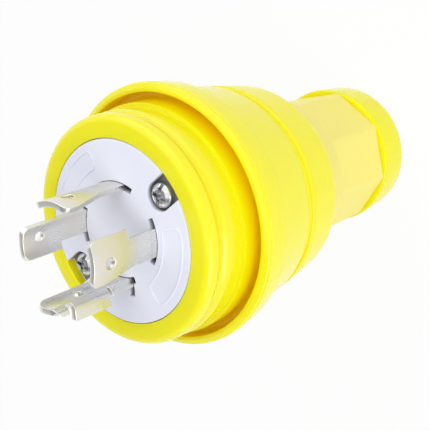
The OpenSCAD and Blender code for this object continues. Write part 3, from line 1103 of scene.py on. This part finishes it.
@dataclass
class ContactFace:
    """White contact face with blade slots, screw notches and two blank raised frames."""

    levels: Levels
    radius: float = 22.5
    skirt_bore_r: float = 20.0
    skirt_rear: float = 85.2
    slot_half: float = 0.8
    slots: tuple[Point, ...] = ((RIGHT_DEG, 27.5), (TOP_DEG, 27.5), (LEFT_DEG, 21.5), (GROUND_DEG, 21.5))
    tab_slot: tuple[float, float, float, float] = (11.8, 15.3, 2.3, 3.9)
    notch_r: float = 3.55
    notch_depth: float = 2.3
    notch_reach: float = 3.0
    screw_hole_r: float = 2.1
    edge_round: float = 0.16
    frames: tuple[tuple[float, float, float, float], ...] = (
        (14.4, 20.2, -62.0, 3.0),
        (16.0, 20.4, 103.0, 151.0),
    )
    frame_corner: float = 1.3
    frame_ridge: float = 0.24
    frame_step: float = 0.4

    def build(self, palette: Palette) -> None:
        """Builds and dresses the face and its frames.

        Args:
            palette: the finishes.
        """
        lv = self.levels
        outline: list[Corner] = [
            (0.0, lv.plate, 0.0),
            (self.skirt_bore_r, lv.plate, 0.0),
            (self.skirt_bore_r, self.skirt_rear, 0.0),
            (self.radius, self.skirt_rear, 0.3),
            (self.radius, lv.face, 0.5),
            (0.0, lv.face, 0.0),
        ]
        disc = finish_mesh(turned(outline, 224), "contact_disc")
        evened(carved(disc, self.cutters(), "DIFFERENCE"))
        dress(disc, palette.face, Body.PLUG, "face_nylon", "contact_face")
        self.raised_frames(palette)

    def cutters(self) -> list[Piece]:
        """Returns the solids of the slots, the notches and the screw holes.

        Returns:
            The cutters.
        """
        low = self.levels.plate - 1.0
        floor = self.levels.face - self.notch_depth
        tools = [self.cutter(self.slot(angle, half), low) for angle, half in self.slots]
        tools.append(self.cutter(self.tab_outline, low))
        for side in (0.0, 180.0):
            around = math.radians(SCREW_DEG + side)
            tools.append(self.cutter(self.notch(around), floor))
            circle = arc_points((SCREW_CIRCLE_R, 0.0), self.screw_hole_r, full_turn(32))
            hole = [self.turn(point, around) for point in circle]
            tools.append(finish_mesh(solid_of(hole, low, floor + 0.5), "screw_hole"))
        return tools

    def cutter(self, outline: Callable[[float], list[Point]], low: float) -> Piece:
        """Returns a cutter that leaves a rounded edge at the face.

        Args:
            outline: gives the cut's outline, grown by a margin.
            low: the cut's lower end.

        Returns:
            The cutter.
        """
        face, edge = self.levels.face, self.edge_round
        steps = [(0.0, low), (0.0, face - edge)]
        for a in (0.5, 1.0, math.pi / 2):
            steps.append((edge * (1 - math.cos(a)), face - edge * (1 - math.sin(a))))
        steps.append((edge, face + 1.0))
        rings = [[Vector((x, y, z)) for x, y in outline(margin)] for margin, z in steps]
        return finish_mesh(loft(rings, True), "cutter")

    @staticmethod
    def turn(point: Point, angle: float) -> Point:
        """Turns a point around the axis by an angle in radians."""
        c, s = math.cos(angle), math.sin(angle)
        return point[0] * c - point[1] * s, point[0] * s + point[1] * c

    def slot(self, angle: float, half: float) -> Callable[[float], list[Point]]:
        """Returns the outline of one curved slot as a function of a margin.

        Args:
            angle: its middle direction in degrees.
            half: its half angle in degrees.

        Returns:
            The function.
        """

        def outline(margin: float) -> list[Point]:
            """Draws the outline.

            Args:
                margin: how far it is grown.

            Returns:
                Its points.
            """
            outer, inner = (BLADE_CIRCLE_R + side * (self.slot_half + margin) for side in (1, -1))
            reach = math.radians(half) + margin / BLADE_CIRCLE_R
            turns = [math.radians(angle) + reach * (k / 12 - 1) for k in range(25)]
            return arc_points((0.0, 0.0), outer, turns) + arc_points((0.0, 0.0), inner, turns[::-1])

        return outline

    def tab_outline(self, margin: float) -> list[Point]:
        """Returns the outline of the ground blade's tab slot, grown by a margin.

        Args:
            margin: how far it is grown.

        Returns:
            Its points.
        """
        x0, x1, y0, y1 = self.tab_slot
        low, high, end = y0 - margin, y1 + margin, x1 + margin
        box = ((x0, low), (end, low), (end, high), (x0, high))
        return [self.turn(point, math.radians(GROUND_DEG)) for point in box]

    def notch(self, around: float) -> Callable[[float], list[Point]]:
        """Returns the outline of a screw notch, open to the rim, as a function of a margin.

        Args:
            around: the screw's direction in radians.

        Returns:
            The function.
        """

        def outline(margin: float) -> list[Point]:
            """Draws the outline.

            Args:
                margin: how far it is grown.

            Returns:
                Its points.
            """
            radius, open_end = self.notch_r + margin, self.radius + self.notch_reach
            arc = [math.radians(90 + 180 * k / 32) for k in range(33)]
            points = arc_points((SCREW_CIRCLE_R, 0.0), radius, arc)
            return [self.turn(p, around) for p in [*points, (open_end, -radius), (open_end, radius)]]

        return outline

    def raised_frames(self, palette: Palette) -> None:
        """Sweeps a fine ridge along each frame's path with Geometry Nodes.

        Args:
            palette: the finishes.
        """
        graph = GeometryGraph("ridge")
        info = graph.node("ObjectInfo", None, {"Object": graph.input("Path", "Object")})
        (width,) = graph.numbers("Width")
        curve = graph.out("MeshToCurve", {"Mesh": info.outputs["Geometry"]})
        profile = graph.out("CurvePrimitiveCircle", {"Resolution": 10, "Radius": width})
        graph.close(graph.out("CurveToMesh", {"Curve": curve, "Profile Curve": profile}))
        for number, frame in enumerate(self.frames, 1):
            path = self.frame_path(frame)
            values = {"Path": path, "Width": self.frame_ridge * MM}
            piece = graph.piece(f"raised_frame_{number}", palette.face, values)
            bpy.data.objects.remove(path)
            dress(piece, palette.face, Body.PLUG, "face_nylon")

    def frame_path(self, frame: tuple[float, float, float, float]) -> Piece:
        """Returns the closed path of one frame as a mesh of edges.

        Args:
            frame: inner and outer radius, and the two end directions in degrees.

        Returns:
            The path's object.
        """
        inner, outer, first, last = frame
        mid = (inner + outer) / 2
        reach, corner = math.radians(last - first) * mid, self.frame_corner
        box = ((0.0, inner), (reach, inner), (reach, outer), (0.0, outer))
        band = rounded([(s, r, corner) for s, r in box], 8)
        points: list[Vector] = []
        for i, (s, r) in enumerate(band):
            s2, r2 = band[(i + 1) % len(band)]
            pieces = max(1, round(math.hypot(s2 - s, r2 - r) / self.frame_step))
            for k in range(pieces):
                at, radius = s + (s2 - s) * k / pieces, r + (r2 - r) * k / pieces
                turn = math.radians(first) + at / mid
                points += ring_of(radius * MM, self.levels.face * MM, [turn])
        mesh = bpy.data.meshes.new("frame_path")
        mesh.from_pydata(points, [(i, (i + 1) % len(points)) for i in range(len(points))], [])
        return placed("frame_path", mesh)


@dataclass
class Strip:
    """One stamped blade: a flat outline of arc length and height, bent to the circle."""

    side: str
    angle: float
    outline: list[Corner]
    hole: Point
    hole_r: float = 1.3
    thickness: float = 1.4
    bend_from: float = 99.0
    bend_r: float = 1.1
    edge_round: float = 0.16
    strip: float = 0.35
    hole_steps: int = 28
    sharp_deg: float = 50.0

    def build(self, palette: Palette) -> None:
        """Builds and dresses the blade.

        Args:
            palette: the finishes.
        """
        flat = self.flat_pattern()
        half, edge = self.thickness / 2, self.edge_round
        turns = [math.pi / 2 * k / 4 for k in range(5)]
        depths = [(edge * math.sin(a), half - edge * (1 - math.cos(a))) for a in turns]
        depths += [(out, -depth) for out, depth in reversed(depths)]
        bm = bmesh.new()
        caps: list[dict[int, bmesh.types.BMVert]] = []
        for depth in (half, -half):
            caps.append({v.index: bm.verts.new(self.bent(v.co.x, v.co.y, depth)) for v in flat.verts})
            for face in flat.faces:
                bm.faces.new([caps[-1][v.index] for v in face.verts])
        for rim in self.rims(flat):
            rows = [[caps[0][i] for i, _, _ in rim]]
            for out, depth in depths[1:-1]:
                rows.append([bm.verts.new(self.bent(*(at + away * out), depth)) for _, at, away in rim])
            rows.append([caps[1][i] for i, _, _ in rim])
            for row, after in zip(rows, rows[1:]):
                for k in range(len(row)):
                    bm.faces.new((row[k - 1], row[k], after[k], after[k - 1]))
        flat.free()
        piece = evened(finish_mesh(bm, f"blade_{self.side}"), self.sharp_deg)
        dress(piece, palette.blade, Body.PLUG, "blade_metal", f"{self.side}_blade")

    @staticmethod
    def rims(flat: Shape) -> list[list[tuple[int, Vector, Vector]]]:
        """Walks the rims of a flat pattern: its outline and its hole.

        Args:
            flat: the pattern, whose faces point up.

        Returns:
            For each rim its vertices in order: number, place, and the way out of the sheet.
        """
        after = {}
        for edge in flat.edges:
            if len(edge.link_loops) == 1:
                corner = edge.link_loops[0]
                after[corner.vert.index] = corner.link_loop_next.vert.index
        places = {v.index: Vector(v.co.xy) for v in flat.verts}
        rims = []
        while after:
            here = next(iter(after))
            ring = []
            while here in after:
                ring.append(here)
                here = after.pop(here)
            around = zip([ring[-1], *ring], ring, [*ring[1:], ring[0]])
            rims.append([(i, places[i], outward(*(places[n] for n in (h, i, j)))) for h, i, j in around])
        return rims

    def flat_pattern(self) -> Shape:
        """Returns the sheet's flat face, cut into strips that can bend.

        Returns:
            The flat mesh.
        """
        bm = bmesh.new()
        outline = grown(rounded(self.outline, 6), -self.edge_round)
        around = full_turn(self.hole_steps)
        (cs, cz), radius = self.hole, self.hole_r + self.edge_round
        hole = arc_points((cs, cz), radius, around)
        edges = []
        for rim in (outline, hole):
            ring = [bm.verts.new((s, z, 0.0)) for s, z in rim]
            edges += [bm.edges.new((ring[i - 1], ring[i])) for i in range(len(ring))]
        bmesh.ops.triangle_fill(bm, edges=edges, use_beauty=True, normal=(0.0, 0.0, 1.0))
        low, high = min(s for s, _ in outline), max(s for s, _ in outline)
        count = round((high - low) / self.strip)
        for k in range(1, count):
            whole = [*bm.verts, *bm.edges, *bm.faces]
            cut = (low + (high - low) * k / count, 0.0, 0.0)
            bmesh.ops.bisect_plane(bm, geom=whole, dist=1e-4, plane_co=cut, plane_no=(1.0, 0.0, 0.0))
        bmesh.ops.remove_doubles(bm, verts=bm.verts, dist=1e-3)
        for face in bm.faces:
            if face.normal.z < 0.0:
                face.normal_flip()
        bm.verts.index_update()
        return bm

    def bent(self, s: float, z: float, depth: float) -> Vector:
        """Bends a point of the flat pattern into place.

        Args:
            s: arc length across the blade from its middle.
            z: height.
            depth: distance from the middle of the sheet, outwards.

        Returns:
            The point in the plug's frame.
        """
        turn = min(s, self.bend_from) / BLADE_CIRCLE_R
        reach = BLADE_CIRCLE_R + depth
        x, y = reach * math.cos(turn), reach * math.sin(turn)
        if s > self.bend_from:
            centre = BLADE_CIRCLE_R + self.bend_r
            full = math.pi / 2 + turn
            around = turn + math.pi - min((s - self.bend_from) / self.bend_r, full)
            straight = max(0.0, s - self.bend_from - full * self.bend_r)
            x = centre * math.cos(turn) + (self.bend_r - depth) * math.cos(around) + straight
            y = centre * math.sin(turn) + (self.bend_r - depth) * math.sin(around)
        return Vector((*ContactFace.turn((x, y), math.radians(self.angle)), z))


@dataclass
class Blades:
    """The four blades with their tails, locking steps and side tab."""

    levels: Levels
    length: float = 19.4
    step_height: float = 8.2
    step_round: float = 0.35
    tip_round: float = 1.7
    tip_hole: float = 14.5
    hole_shifts: Corner = (-0.5, -1.0, -0.8)
    neck_w: float = 3.3
    hook_w: float = 5.2
    hook_len: float = 4.0
    hook_fillet: float = 2.5
    hook_start: float = 0.8
    edge_w: float = 4.0
    inner_w: float = 2.0
    ground_w: float = 3.8
    ground_len: float = 23.6
    ground_hole: float = 13.5
    tab_z: Point = (7.4, 18.4)
    tab_relief: Point = (0.6, 1.5)
    tab_reach: float = 15.2
    tab_bend_r: float = 1.1
    tab_bend_from: float = 1.83
    tail: float = 16.0
    tail_w: float = 4.0
    shoulder_w: Point = (5.8, 4.6)
    shoulder_len: float = 2.5

    @staticmethod
    def arc(half_width: float) -> float:
        """Returns the arc length of a half width measured straight across."""
        return BLADE_CIRCLE_R * math.asin(half_width / BLADE_CIRCLE_R)

    def tail_corners(self, shoulder: float, left: float, right: float) -> list[Corner]:
        """Returns the corners from the neck's left edge round the tail to its right edge.

        Args:
            shoulder: half width of the shoulder behind the carrier.
            left: the neck's left edge.
            right: the neck's right edge.

        Returns:
            The corners.
        """
        top = self.levels.sleeve_top
        low, foot = top - self.shoulder_len, top - self.tail
        wide, slim = self.arc(shoulder), self.arc(self.tail_w)
        side = [(wide, top, 0.0), (wide, low, 0.0), (slim, low, 0.0), (slim, foot, 0.8)]
        return [(left, top, 0.0), *((-s, z, r) for s, z, r in side), *reversed(side), (right, top, 0.0)]

    def hooked(self, side: str, angle: float) -> Strip:
        """Returns a power blade with a locking step and a flared edge.

        Args:
            side: where it stands.
            angle: its direction in degrees.

        Returns:
            The blade.
        """
        neck, hook = self.arc(self.neck_w), self.arc(self.hook_w)
        step, tip = self.levels.face + self.step_height, self.levels.face + self.length
        outline: list[Corner] = [
            *self.tail_corners(self.shoulder_w[0], -neck, neck),
            (neck, step, self.step_round),
            (hook, step, self.step_round),
            (hook, tip, self.tip_round),
            (-hook, tip, self.tip_round),
            (-hook, tip - self.hook_len, self.hook_fillet),
            (-neck, step - self.hook_start, self.hook_fillet),
        ]
        hole = (self.arc(self.hole_shifts[0]), self.levels.face + self.tip_hole)
        return Strip(side, angle, outline, hole)

    def straight(self) -> Strip:
        """Returns the left power blade, which has one straight edge.

        Returns:
            The blade.
        """
        edge, inner = self.arc(self.edge_w), self.arc(self.inner_w)
        step, tip = self.levels.face + self.step_height, self.levels.face + self.length
        outline: list[Corner] = [
            *self.tail_corners(self.shoulder_w[1], -edge, inner),
            (inner, step, self.step_round),
            (edge, step, self.step_round),
            (edge, tip, self.tip_round),
            (-edge, tip, self.tip_round),
        ]
        hole = (self.arc(self.hole_shifts[1]), self.levels.face + self.tip_hole)
        return Strip("left", LEFT_DEG, outline, hole)

    def ground(self) -> Strip:
        """Returns the longer ground blade with its side tab, which bends outwards.

        Returns:
            The blade.
        """
        face, edge = self.levels.face, self.arc(self.ground_w)
        start, tip = self.tab_bend_from, face + self.ground_len
        low, high = (face + z for z in self.tab_z)
        below, above = self.tab_relief
        turn = start / BLADE_CIRCLE_R
        bend = (math.pi / 2 + turn) * self.tab_bend_r
        reach = start + bend + (self.tab_reach - (BLADE_CIRCLE_R + self.tab_bend_r) * math.cos(turn))
        outline: list[Corner] = [
            *self.tail_corners(self.shoulder_w[1], -edge, edge),
            (edge, low - below, 0.3),
            (start, low - below, 0.0),
            (start, low, 0.0),
            (reach, low, 0.5),
            (reach, high, 0.5),
            (start, high, 0.0),
            (start, high + above, 0.5),
            (edge, high + above, 0.3),
            (edge, tip, 2.2),
            (-edge, tip, 2.8),
        ]
        hole = (self.arc(self.hole_shifts[2]), face + self.ground_hole)
        return Strip("ground", GROUND_DEG, outline, hole, bend_from=start, bend_r=self.tab_bend_r)

    def build(self, palette: Palette) -> None:
        """Builds and dresses the four blades.

        Args:
            palette: the finishes.
        """
        hooked = [self.hooked("right", RIGHT_DEG), self.hooked("top", TOP_DEG)]
        for strip in (*hooked, self.straight(), self.ground()):
            strip.build(palette)


@dataclass
class LongScrews:
    """The two assembly screws: pan heads with a combined cross and slot recess."""

    levels: Levels
    head_r: float = 3.05
    head_h: float = 2.3
    head_dome: float = 0.05
    head_flat: float = 0.62
    shank_r: float = 1.95
    tip_chamfer: Point = (0.4, 0.8)
    length: float = 28.0
    seat_depth: float = 2.3
    twist: float = 35.0
    slot_w: float = 0.9
    slot_depth: float = 0.85
    cross_r: float = 1.75
    cross_steps: tuple[Point, ...] = ((0.3, 0.3), (0.9, 1.1), (1.2, 2.8))
    cut_above: float = 0.5
    cut_past: float = 1.2

    def prototype(self) -> Piece:
        """Returns one screw on the origin, its head's seat on the XY plane.

        Returns:
            The screw.
        """
        narrow, tall = self.tip_chamfer
        outline: list[Corner] = [
            (0.0, -self.length, 0.0),
            (self.shank_r - narrow, -self.length, 0.0),
            (self.shank_r, -self.length + tall, 0.0),
            (self.shank_r, 0.0, 0.0),
            (self.head_r, 0.0, 0.15),
            (self.head_r, self.head_h * self.head_flat, 0.8),
            (self.head_r * self.head_flat, self.head_h, 1.2),
            (0.0, self.head_h + self.head_dome, 0.0),
        ]
        screw = finish_mesh(turned(outline, 64), "screw")
        top = self.head_h + self.cut_above
        arm, half = self.head_r * self.cut_past, self.slot_w / 2
        slot = [(-arm, -half), (arm, -half), (arm, half), (-arm, half)]
        cross = [self.cross(scale, z) for scale, z in self.cross_steps]
        tools = [
            finish_mesh(solid_of(slot, self.head_h - self.slot_depth, top), "slot"),
            finish_mesh(loft(cross, True), "cross"),
        ]
        return evened(carved(screw, tools, "DIFFERENCE"))

    def cross(self, scale: float, z: float) -> list[Vector]:
        """Returns one ring of the cross recess.

        Args:
            scale: share of the recess's full size.
            z: the ring's height.

        Returns:
            The ring's points.
        """
        arm, half = self.cross_r * scale, self.slot_w * 0.5 * (0.4 + 0.6 * scale)
        quarter = [(arm, -half), (arm, half), (half, half)]
        turned_on = [ContactFace.turn(p, math.radians(90 * k)) for k in range(4) for p in quarter]
        return [Vector((x, y, z)) for x, y in turned_on]

    def build(self, palette: Palette) -> None:
        """Sets a screw at each place with Geometry Nodes and dresses the pair.

        Args:
            palette: the finishes.
        """
        graph = GeometryGraph("screw_ring")
        inputs = {"Object": graph.input("Screw", "Object"), "As Instance": True}
        model = graph.node("ObjectInfo", None, inputs).outputs["Geometry"]
        count, radius, height, angle, twist = graph.numbers("Count", "Circle", "Seat", "Angle", "Twist")
        around = Value(graph, graph.out("InputIndex")) * math.tau / count + angle
        x, y = (graph.math(way, around) * radius for way in ("COSINE", "SINE"))
        points = graph.out("Points", {"Count": count, "Position": graph.spot(x, y, height)})
        turn = graph.spot(0.0, 0.0, around + twist)
        copies = graph.out("InstanceOnPoints", {"Points": points, "Instance": model, "Rotation": turn})
        graph.close(copies, False)
        screw = self.prototype()
        values = {
            "Screw": screw,
            "Count": 2.0,
            "Circle": SCREW_CIRCLE_R * MM,
            "Seat": (self.levels.face - self.seat_depth) * MM,
            "Angle": math.radians(SCREW_DEG),
            "Twist": math.radians(self.twist),
        }
        piece = graph.piece("long_screws", palette.screw, values)
        bpy.data.objects.remove(screw)
        dress(piece, palette.screw, Body.PLUG, "screw_nickel", "assembly_screws")


@dataclass
class Gland:
    """Octagonal gland nut with its round shoulder, and the elastomer boot on its tail."""

    levels: Levels
    flat_r: float = 18.2
    corner_round: float = 0.9
    corner_cut: float = 2.2
    corner_blend: float = 0.35
    turn: float = 24.0
    shoulder_len: float = 9.7
    shoulder_rear_r: float = 21.6
    shoulder_front_r: float = 25.3
    bay_r: float = 18.55
    bay_depth: float = 3.55
    bore_r: float = 15.8
    bore_floor: float = 12.4
    collet_seat_r: float = 12.2
    cord_r: float = 10.9
    cord_z: float = 3.5
    tail_r: float = 15.9
    boot_fit: float = 0.15
    boot_front_r: float = 19.9
    boot_rear_r: float = 18.9
    boot_lip: float = 2.3
    boot_mouth_r: float = 10.5
    segments: int = 192
    rear_edge: tuple[Point, ...] = ((0.0, 0.3), (0.3, 0.0))
    front_fillet: tuple[Point, ...] = ((-0.5, 0.0), (-0.15, -0.12), (0.0, -0.45))
    shoulder_rear: tuple[Point, ...] = ((-0.5, 0.0), (-0.15, 0.12), (0.0, 0.45))
    shoulder_front: tuple[Point, ...] = (
        (-0.3, -1.3),
        (-0.05, -0.9),
        (0.0, -0.6),
        (-0.1, -0.2),
        (-0.4, 0.0),
    )

    def octagon(self, theta: float, inset: float) -> float:
        """Returns the octagon's radius in one direction.

        Args:
            theta: the direction from a corner, in radians.
            inset: how far the flats lie inside their full size.

        Returns:
            The radius, with the corner rounded.
        """
        sector = math.pi / 4
        off = (theta + sector / 2) % sector - sector / 2
        flat = self.flat_r - inset
        plain = flat / math.cos(sector / 2 - abs(off))
        corner = flat / math.cos(sector / 2)
        cap = corner - self.corner_round * (1.0 / math.cos(sector / 2) - 1.0) * self.corner_cut
        blend, gap = self.corner_blend, cap - plain
        if gap > blend:
            return plain
        return cap - (blend + gap) ** 2 / (4 * blend) if gap > -blend else cap

    def ring(self, radius: float | None, z: float, inset: float = 0.0) -> list[Vector]:
        """Returns one ring of points, round or octagonal.

        Args:
            radius: the round ring's radius, or None for the octagon.
            z: its height.
            inset: how far the octagon's flats lie inside their full size.

        Returns:
            The points.
        """
        points = []
        for k in range(self.segments):
            theta = math.tau * k / self.segments
            r = self.octagon(theta, inset) if radius is None else radius
            points += ring_of(r, z, [theta + math.radians(self.turn)])
        return points

    def build(self, palette: Palette) -> None:
        """Builds and dresses the nut and the boot.

        Args:
            palette: the finishes.
        """
        rear, front = self.levels.nut_rear, self.levels.nut_front
        shoulder, seat_r = front - self.shoulder_len, self.tail_r + self.boot_fit
        rings = [self.ring(None, rear + z, inset) for z, inset in self.rear_edge]
        rings += [self.ring(None, shoulder + z, inset) for z, inset in self.front_fillet]
        rings += [self.ring(self.shoulder_rear_r + r, shoulder + z) for r, z in self.shoulder_rear]
        rings += [self.ring(self.shoulder_front_r + r, front + z) for r, z in self.shoulder_front]
        inside = [
            (self.bay_r, front),
            (self.bay_r, front - self.bay_depth),
            (self.bore_r, front - self.bay_depth),
            (self.bore_r, self.bore_floor),
            (self.collet_seat_r, self.bore_floor),
            (self.cord_r, self.cord_z),
            (self.cord_r, self.boot_lip),
            (self.tail_r, self.boot_lip),
            (self.tail_r, rear),
        ]
        rings += [self.ring(r, z) for r, z in inside]
        nut = finish_mesh(loft(rings), "nut_moulding", 28.0)
        dress(nut, palette.nut, Body.NUT, "nut_nylon", "gland_nut")
        outline: list[Corner] = [
            (self.boot_mouth_r, 0.0, 0.5),
            (self.boot_rear_r, 0.0, 1.7),
            (self.boot_front_r, rear, 0.7),
            (seat_r, rear, 0.1),
            (seat_r, self.boot_lip, 0.0),
            (self.boot_mouth_r, self.boot_lip, 0.3),
        ]
        boot = finish_mesh(turned(outline, 224, 8), "boot_moulding")
        dress(boot, palette.boot, Body.NUT, "jacket_elastomer", "gland_boot")


@dataclass
class InnerParts:
    """The hidden pieces, which keep their solids and get their finishes."""

    nodes: dict[str, Piece]

    def build(self, palette: Palette) -> None:
        """Gives each hidden piece its material.

        Args:
            palette: the finishes.
        """
        finishes = {
            palette.carrier: ("contact_carrier", "wire_guide"),
            palette.rubber: ("carrier_gasket", "cord_seal", "nut_seal_ring"),
            palette.brass: ("right_clamp", "top_clamp", "left_clamp", "ground_clamp", "threaded_inserts"),
            palette.screw: ("terminal_screws",),
            palette.green: ("ground_screw",),
            palette.washer: ("thrust_washer",),
            palette.collet: ("grip_collet",),
        }
        for material, names in finishes.items():
            for name in names:
                for slot in self.nodes[name].material_slots:
                    slot.material = material
                LOG.info("%s: CAD solid with finish %s", name, material.name)


# ---------------------------------------------------------------- studio


@dataclass(frozen=True)
class Lamp:
    """One soft square lamp, placed by its direction from the plug, in degrees."""

    name: str
    azimuth: float
    elevation: float
    distance: float
    size: float
    power: float


@dataclass
class Studio:
    """Floor, world, lamps and camera."""

    eye: Corner = (0.16676, 0.042255, 0.247123)
    right: Corner = (0.74656, -0.16612, -0.64425)
    up: Corner = (0.0, 0.96833, -0.24969)
    back: Corner = (0.66532, 0.18641, 0.72291)
    lens: float = 80.24
    sensor: float = 36.0
    clip: Point = (0.01, 20.0)
    target: Corner = (0.0, 0.0, 0.06)
    floor_half: float = 4.0
    floor_grey: float = 0.9
    floor_share: float = 0.93
    white: float = 1.0
    plain: float = 0.48
    overhead: float = 0.35
    overhead_rise: Point = (0.4, 0.7)
    lamps: tuple[Lamp, ...] = (
        Lamp("key", 88.0, 36.0, 0.6, 0.85, 2.15),
        Lamp("front", -2.0, 63.0, 0.7, 0.6, 1.05),
        Lamp("side", -38.0, 18.0, 0.6, 0.4, 1.35),
    )

    def build(self) -> None:
        """Builds the camera, the floor, the world and the lamps."""
        self.camera()
        self.floor()
        self.world()
        for lamp in self.lamps:
            self.light(lamp)
        bpy.context.scene.view_settings.view_transform = "Standard"
        LOG.info("studio: camera, floor, world and %d lamps", len(self.lamps))

    def camera(self) -> None:
        """Makes the camera."""
        data = bpy.data.cameras.new("camera")
        data.lens = self.lens
        data.sensor_width = self.sensor
        data.clip_start, data.clip_end = self.clip
        camera = placed("camera", data)
        axes = Matrix((self.right, self.up, self.back)).transposed().to_4x4()
        camera.matrix_world = Matrix.Translation(self.eye) @ axes
        bpy.context.scene.camera = camera

    def floor(self) -> None:
        """Makes the white floor, which keeps a soft shadow."""
        half = self.floor_half
        corners = [(-half, -half, 0.0), (half, -half, 0.0), (half, half, 0.0), (-half, half, 0.0)]
        mesh = bpy.data.meshes.new("floor")
        mesh.from_pydata(corners, [], [(0, 1, 2, 3)])
        floor = placed("floor", mesh)
        graph = Graph("floor_white")
        seen = graph.seen_by_eye() * self.floor_share + graph.seen_by_mirror()
        diffuse = graph.out("BsdfDiffuse", {"Color": (self.floor_grey,) * 3})
        glow = graph.out("Emission", {"Color": (1.0, 1.0, 1.0), "Strength": self.white})
        mixed = graph.out("MixShader", {0: seen.clamped(), 1: diffuse, 2: glow})
        graph.feed(graph.output.inputs["Surface"], mixed)
        mesh.materials.append(graph.material)

    def world(self) -> None:
        """Makes the even pale world: white for the camera and low mirrors, dimmer overhead."""
        world = bpy.data.worlds.new("studio_air")
        world.use_nodes = True
        graph = NodeGraph()
        graph.tree = world.node_tree
        seen = graph.seen_by_eye() * (self.white - self.plain)
        split = graph.node("SeparateXYZ", None, {0: graph.node("TexCoord").outputs["Generated"]})
        rise = graph.step(Value(graph, split.outputs[2]), *self.overhead_rise)
        mirror = rise * (self.overhead - self.white) + self.white
        mirrored = graph.seen_by_mirror() * (mirror - self.plain)
        background = world.node_tree.nodes["Background"]
        graph.feed(background.inputs["Color"], (1.0, 1.0, 1.0))
        graph.feed(background.inputs["Strength"], seen + mirrored + self.plain)
        bpy.context.scene.world = world

    def light(self, lamp: Lamp) -> None:
        """Makes one square lamp that faces the plug.

        Args:
            lamp: its place, size and power.
        """
        data = bpy.data.lights.new(lamp.name, "AREA")
        data.shape = "SQUARE"
        data.size = lamp.size
        data.energy = lamp.power
        az, el = math.radians(lamp.azimuth), math.radians(lamp.elevation)
        away = Vector((math.cos(az) * math.cos(el), math.sin(az) * math.cos(el), math.sin(el)))
        light = placed(lamp.name, data)
        light.location = Vector(self.target) + away * lamp.distance
        light.rotation_euler = away.to_track_quat("Z", "Y").to_euler()


def main() -> None:
    """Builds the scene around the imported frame."""
    logging.basicConfig(level=logging.INFO, format="%(name)s: %(message)s")
    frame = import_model()
    palette = Palette()
    levels = Levels.from_frame()
    parts: list[Callable[[Palette], None]] = [
        Jacket(levels).build,
        Housing(levels).build,
        ContactFace(levels).build,
        Blades(levels).build,
        LongScrews(levels).build,
        Gland(levels).build,
        InnerParts(frame["nodes"]).build,
    ]
    for build in parts:
        build(palette)
    Studio().build()


if __name__ == "__main__":
    main()
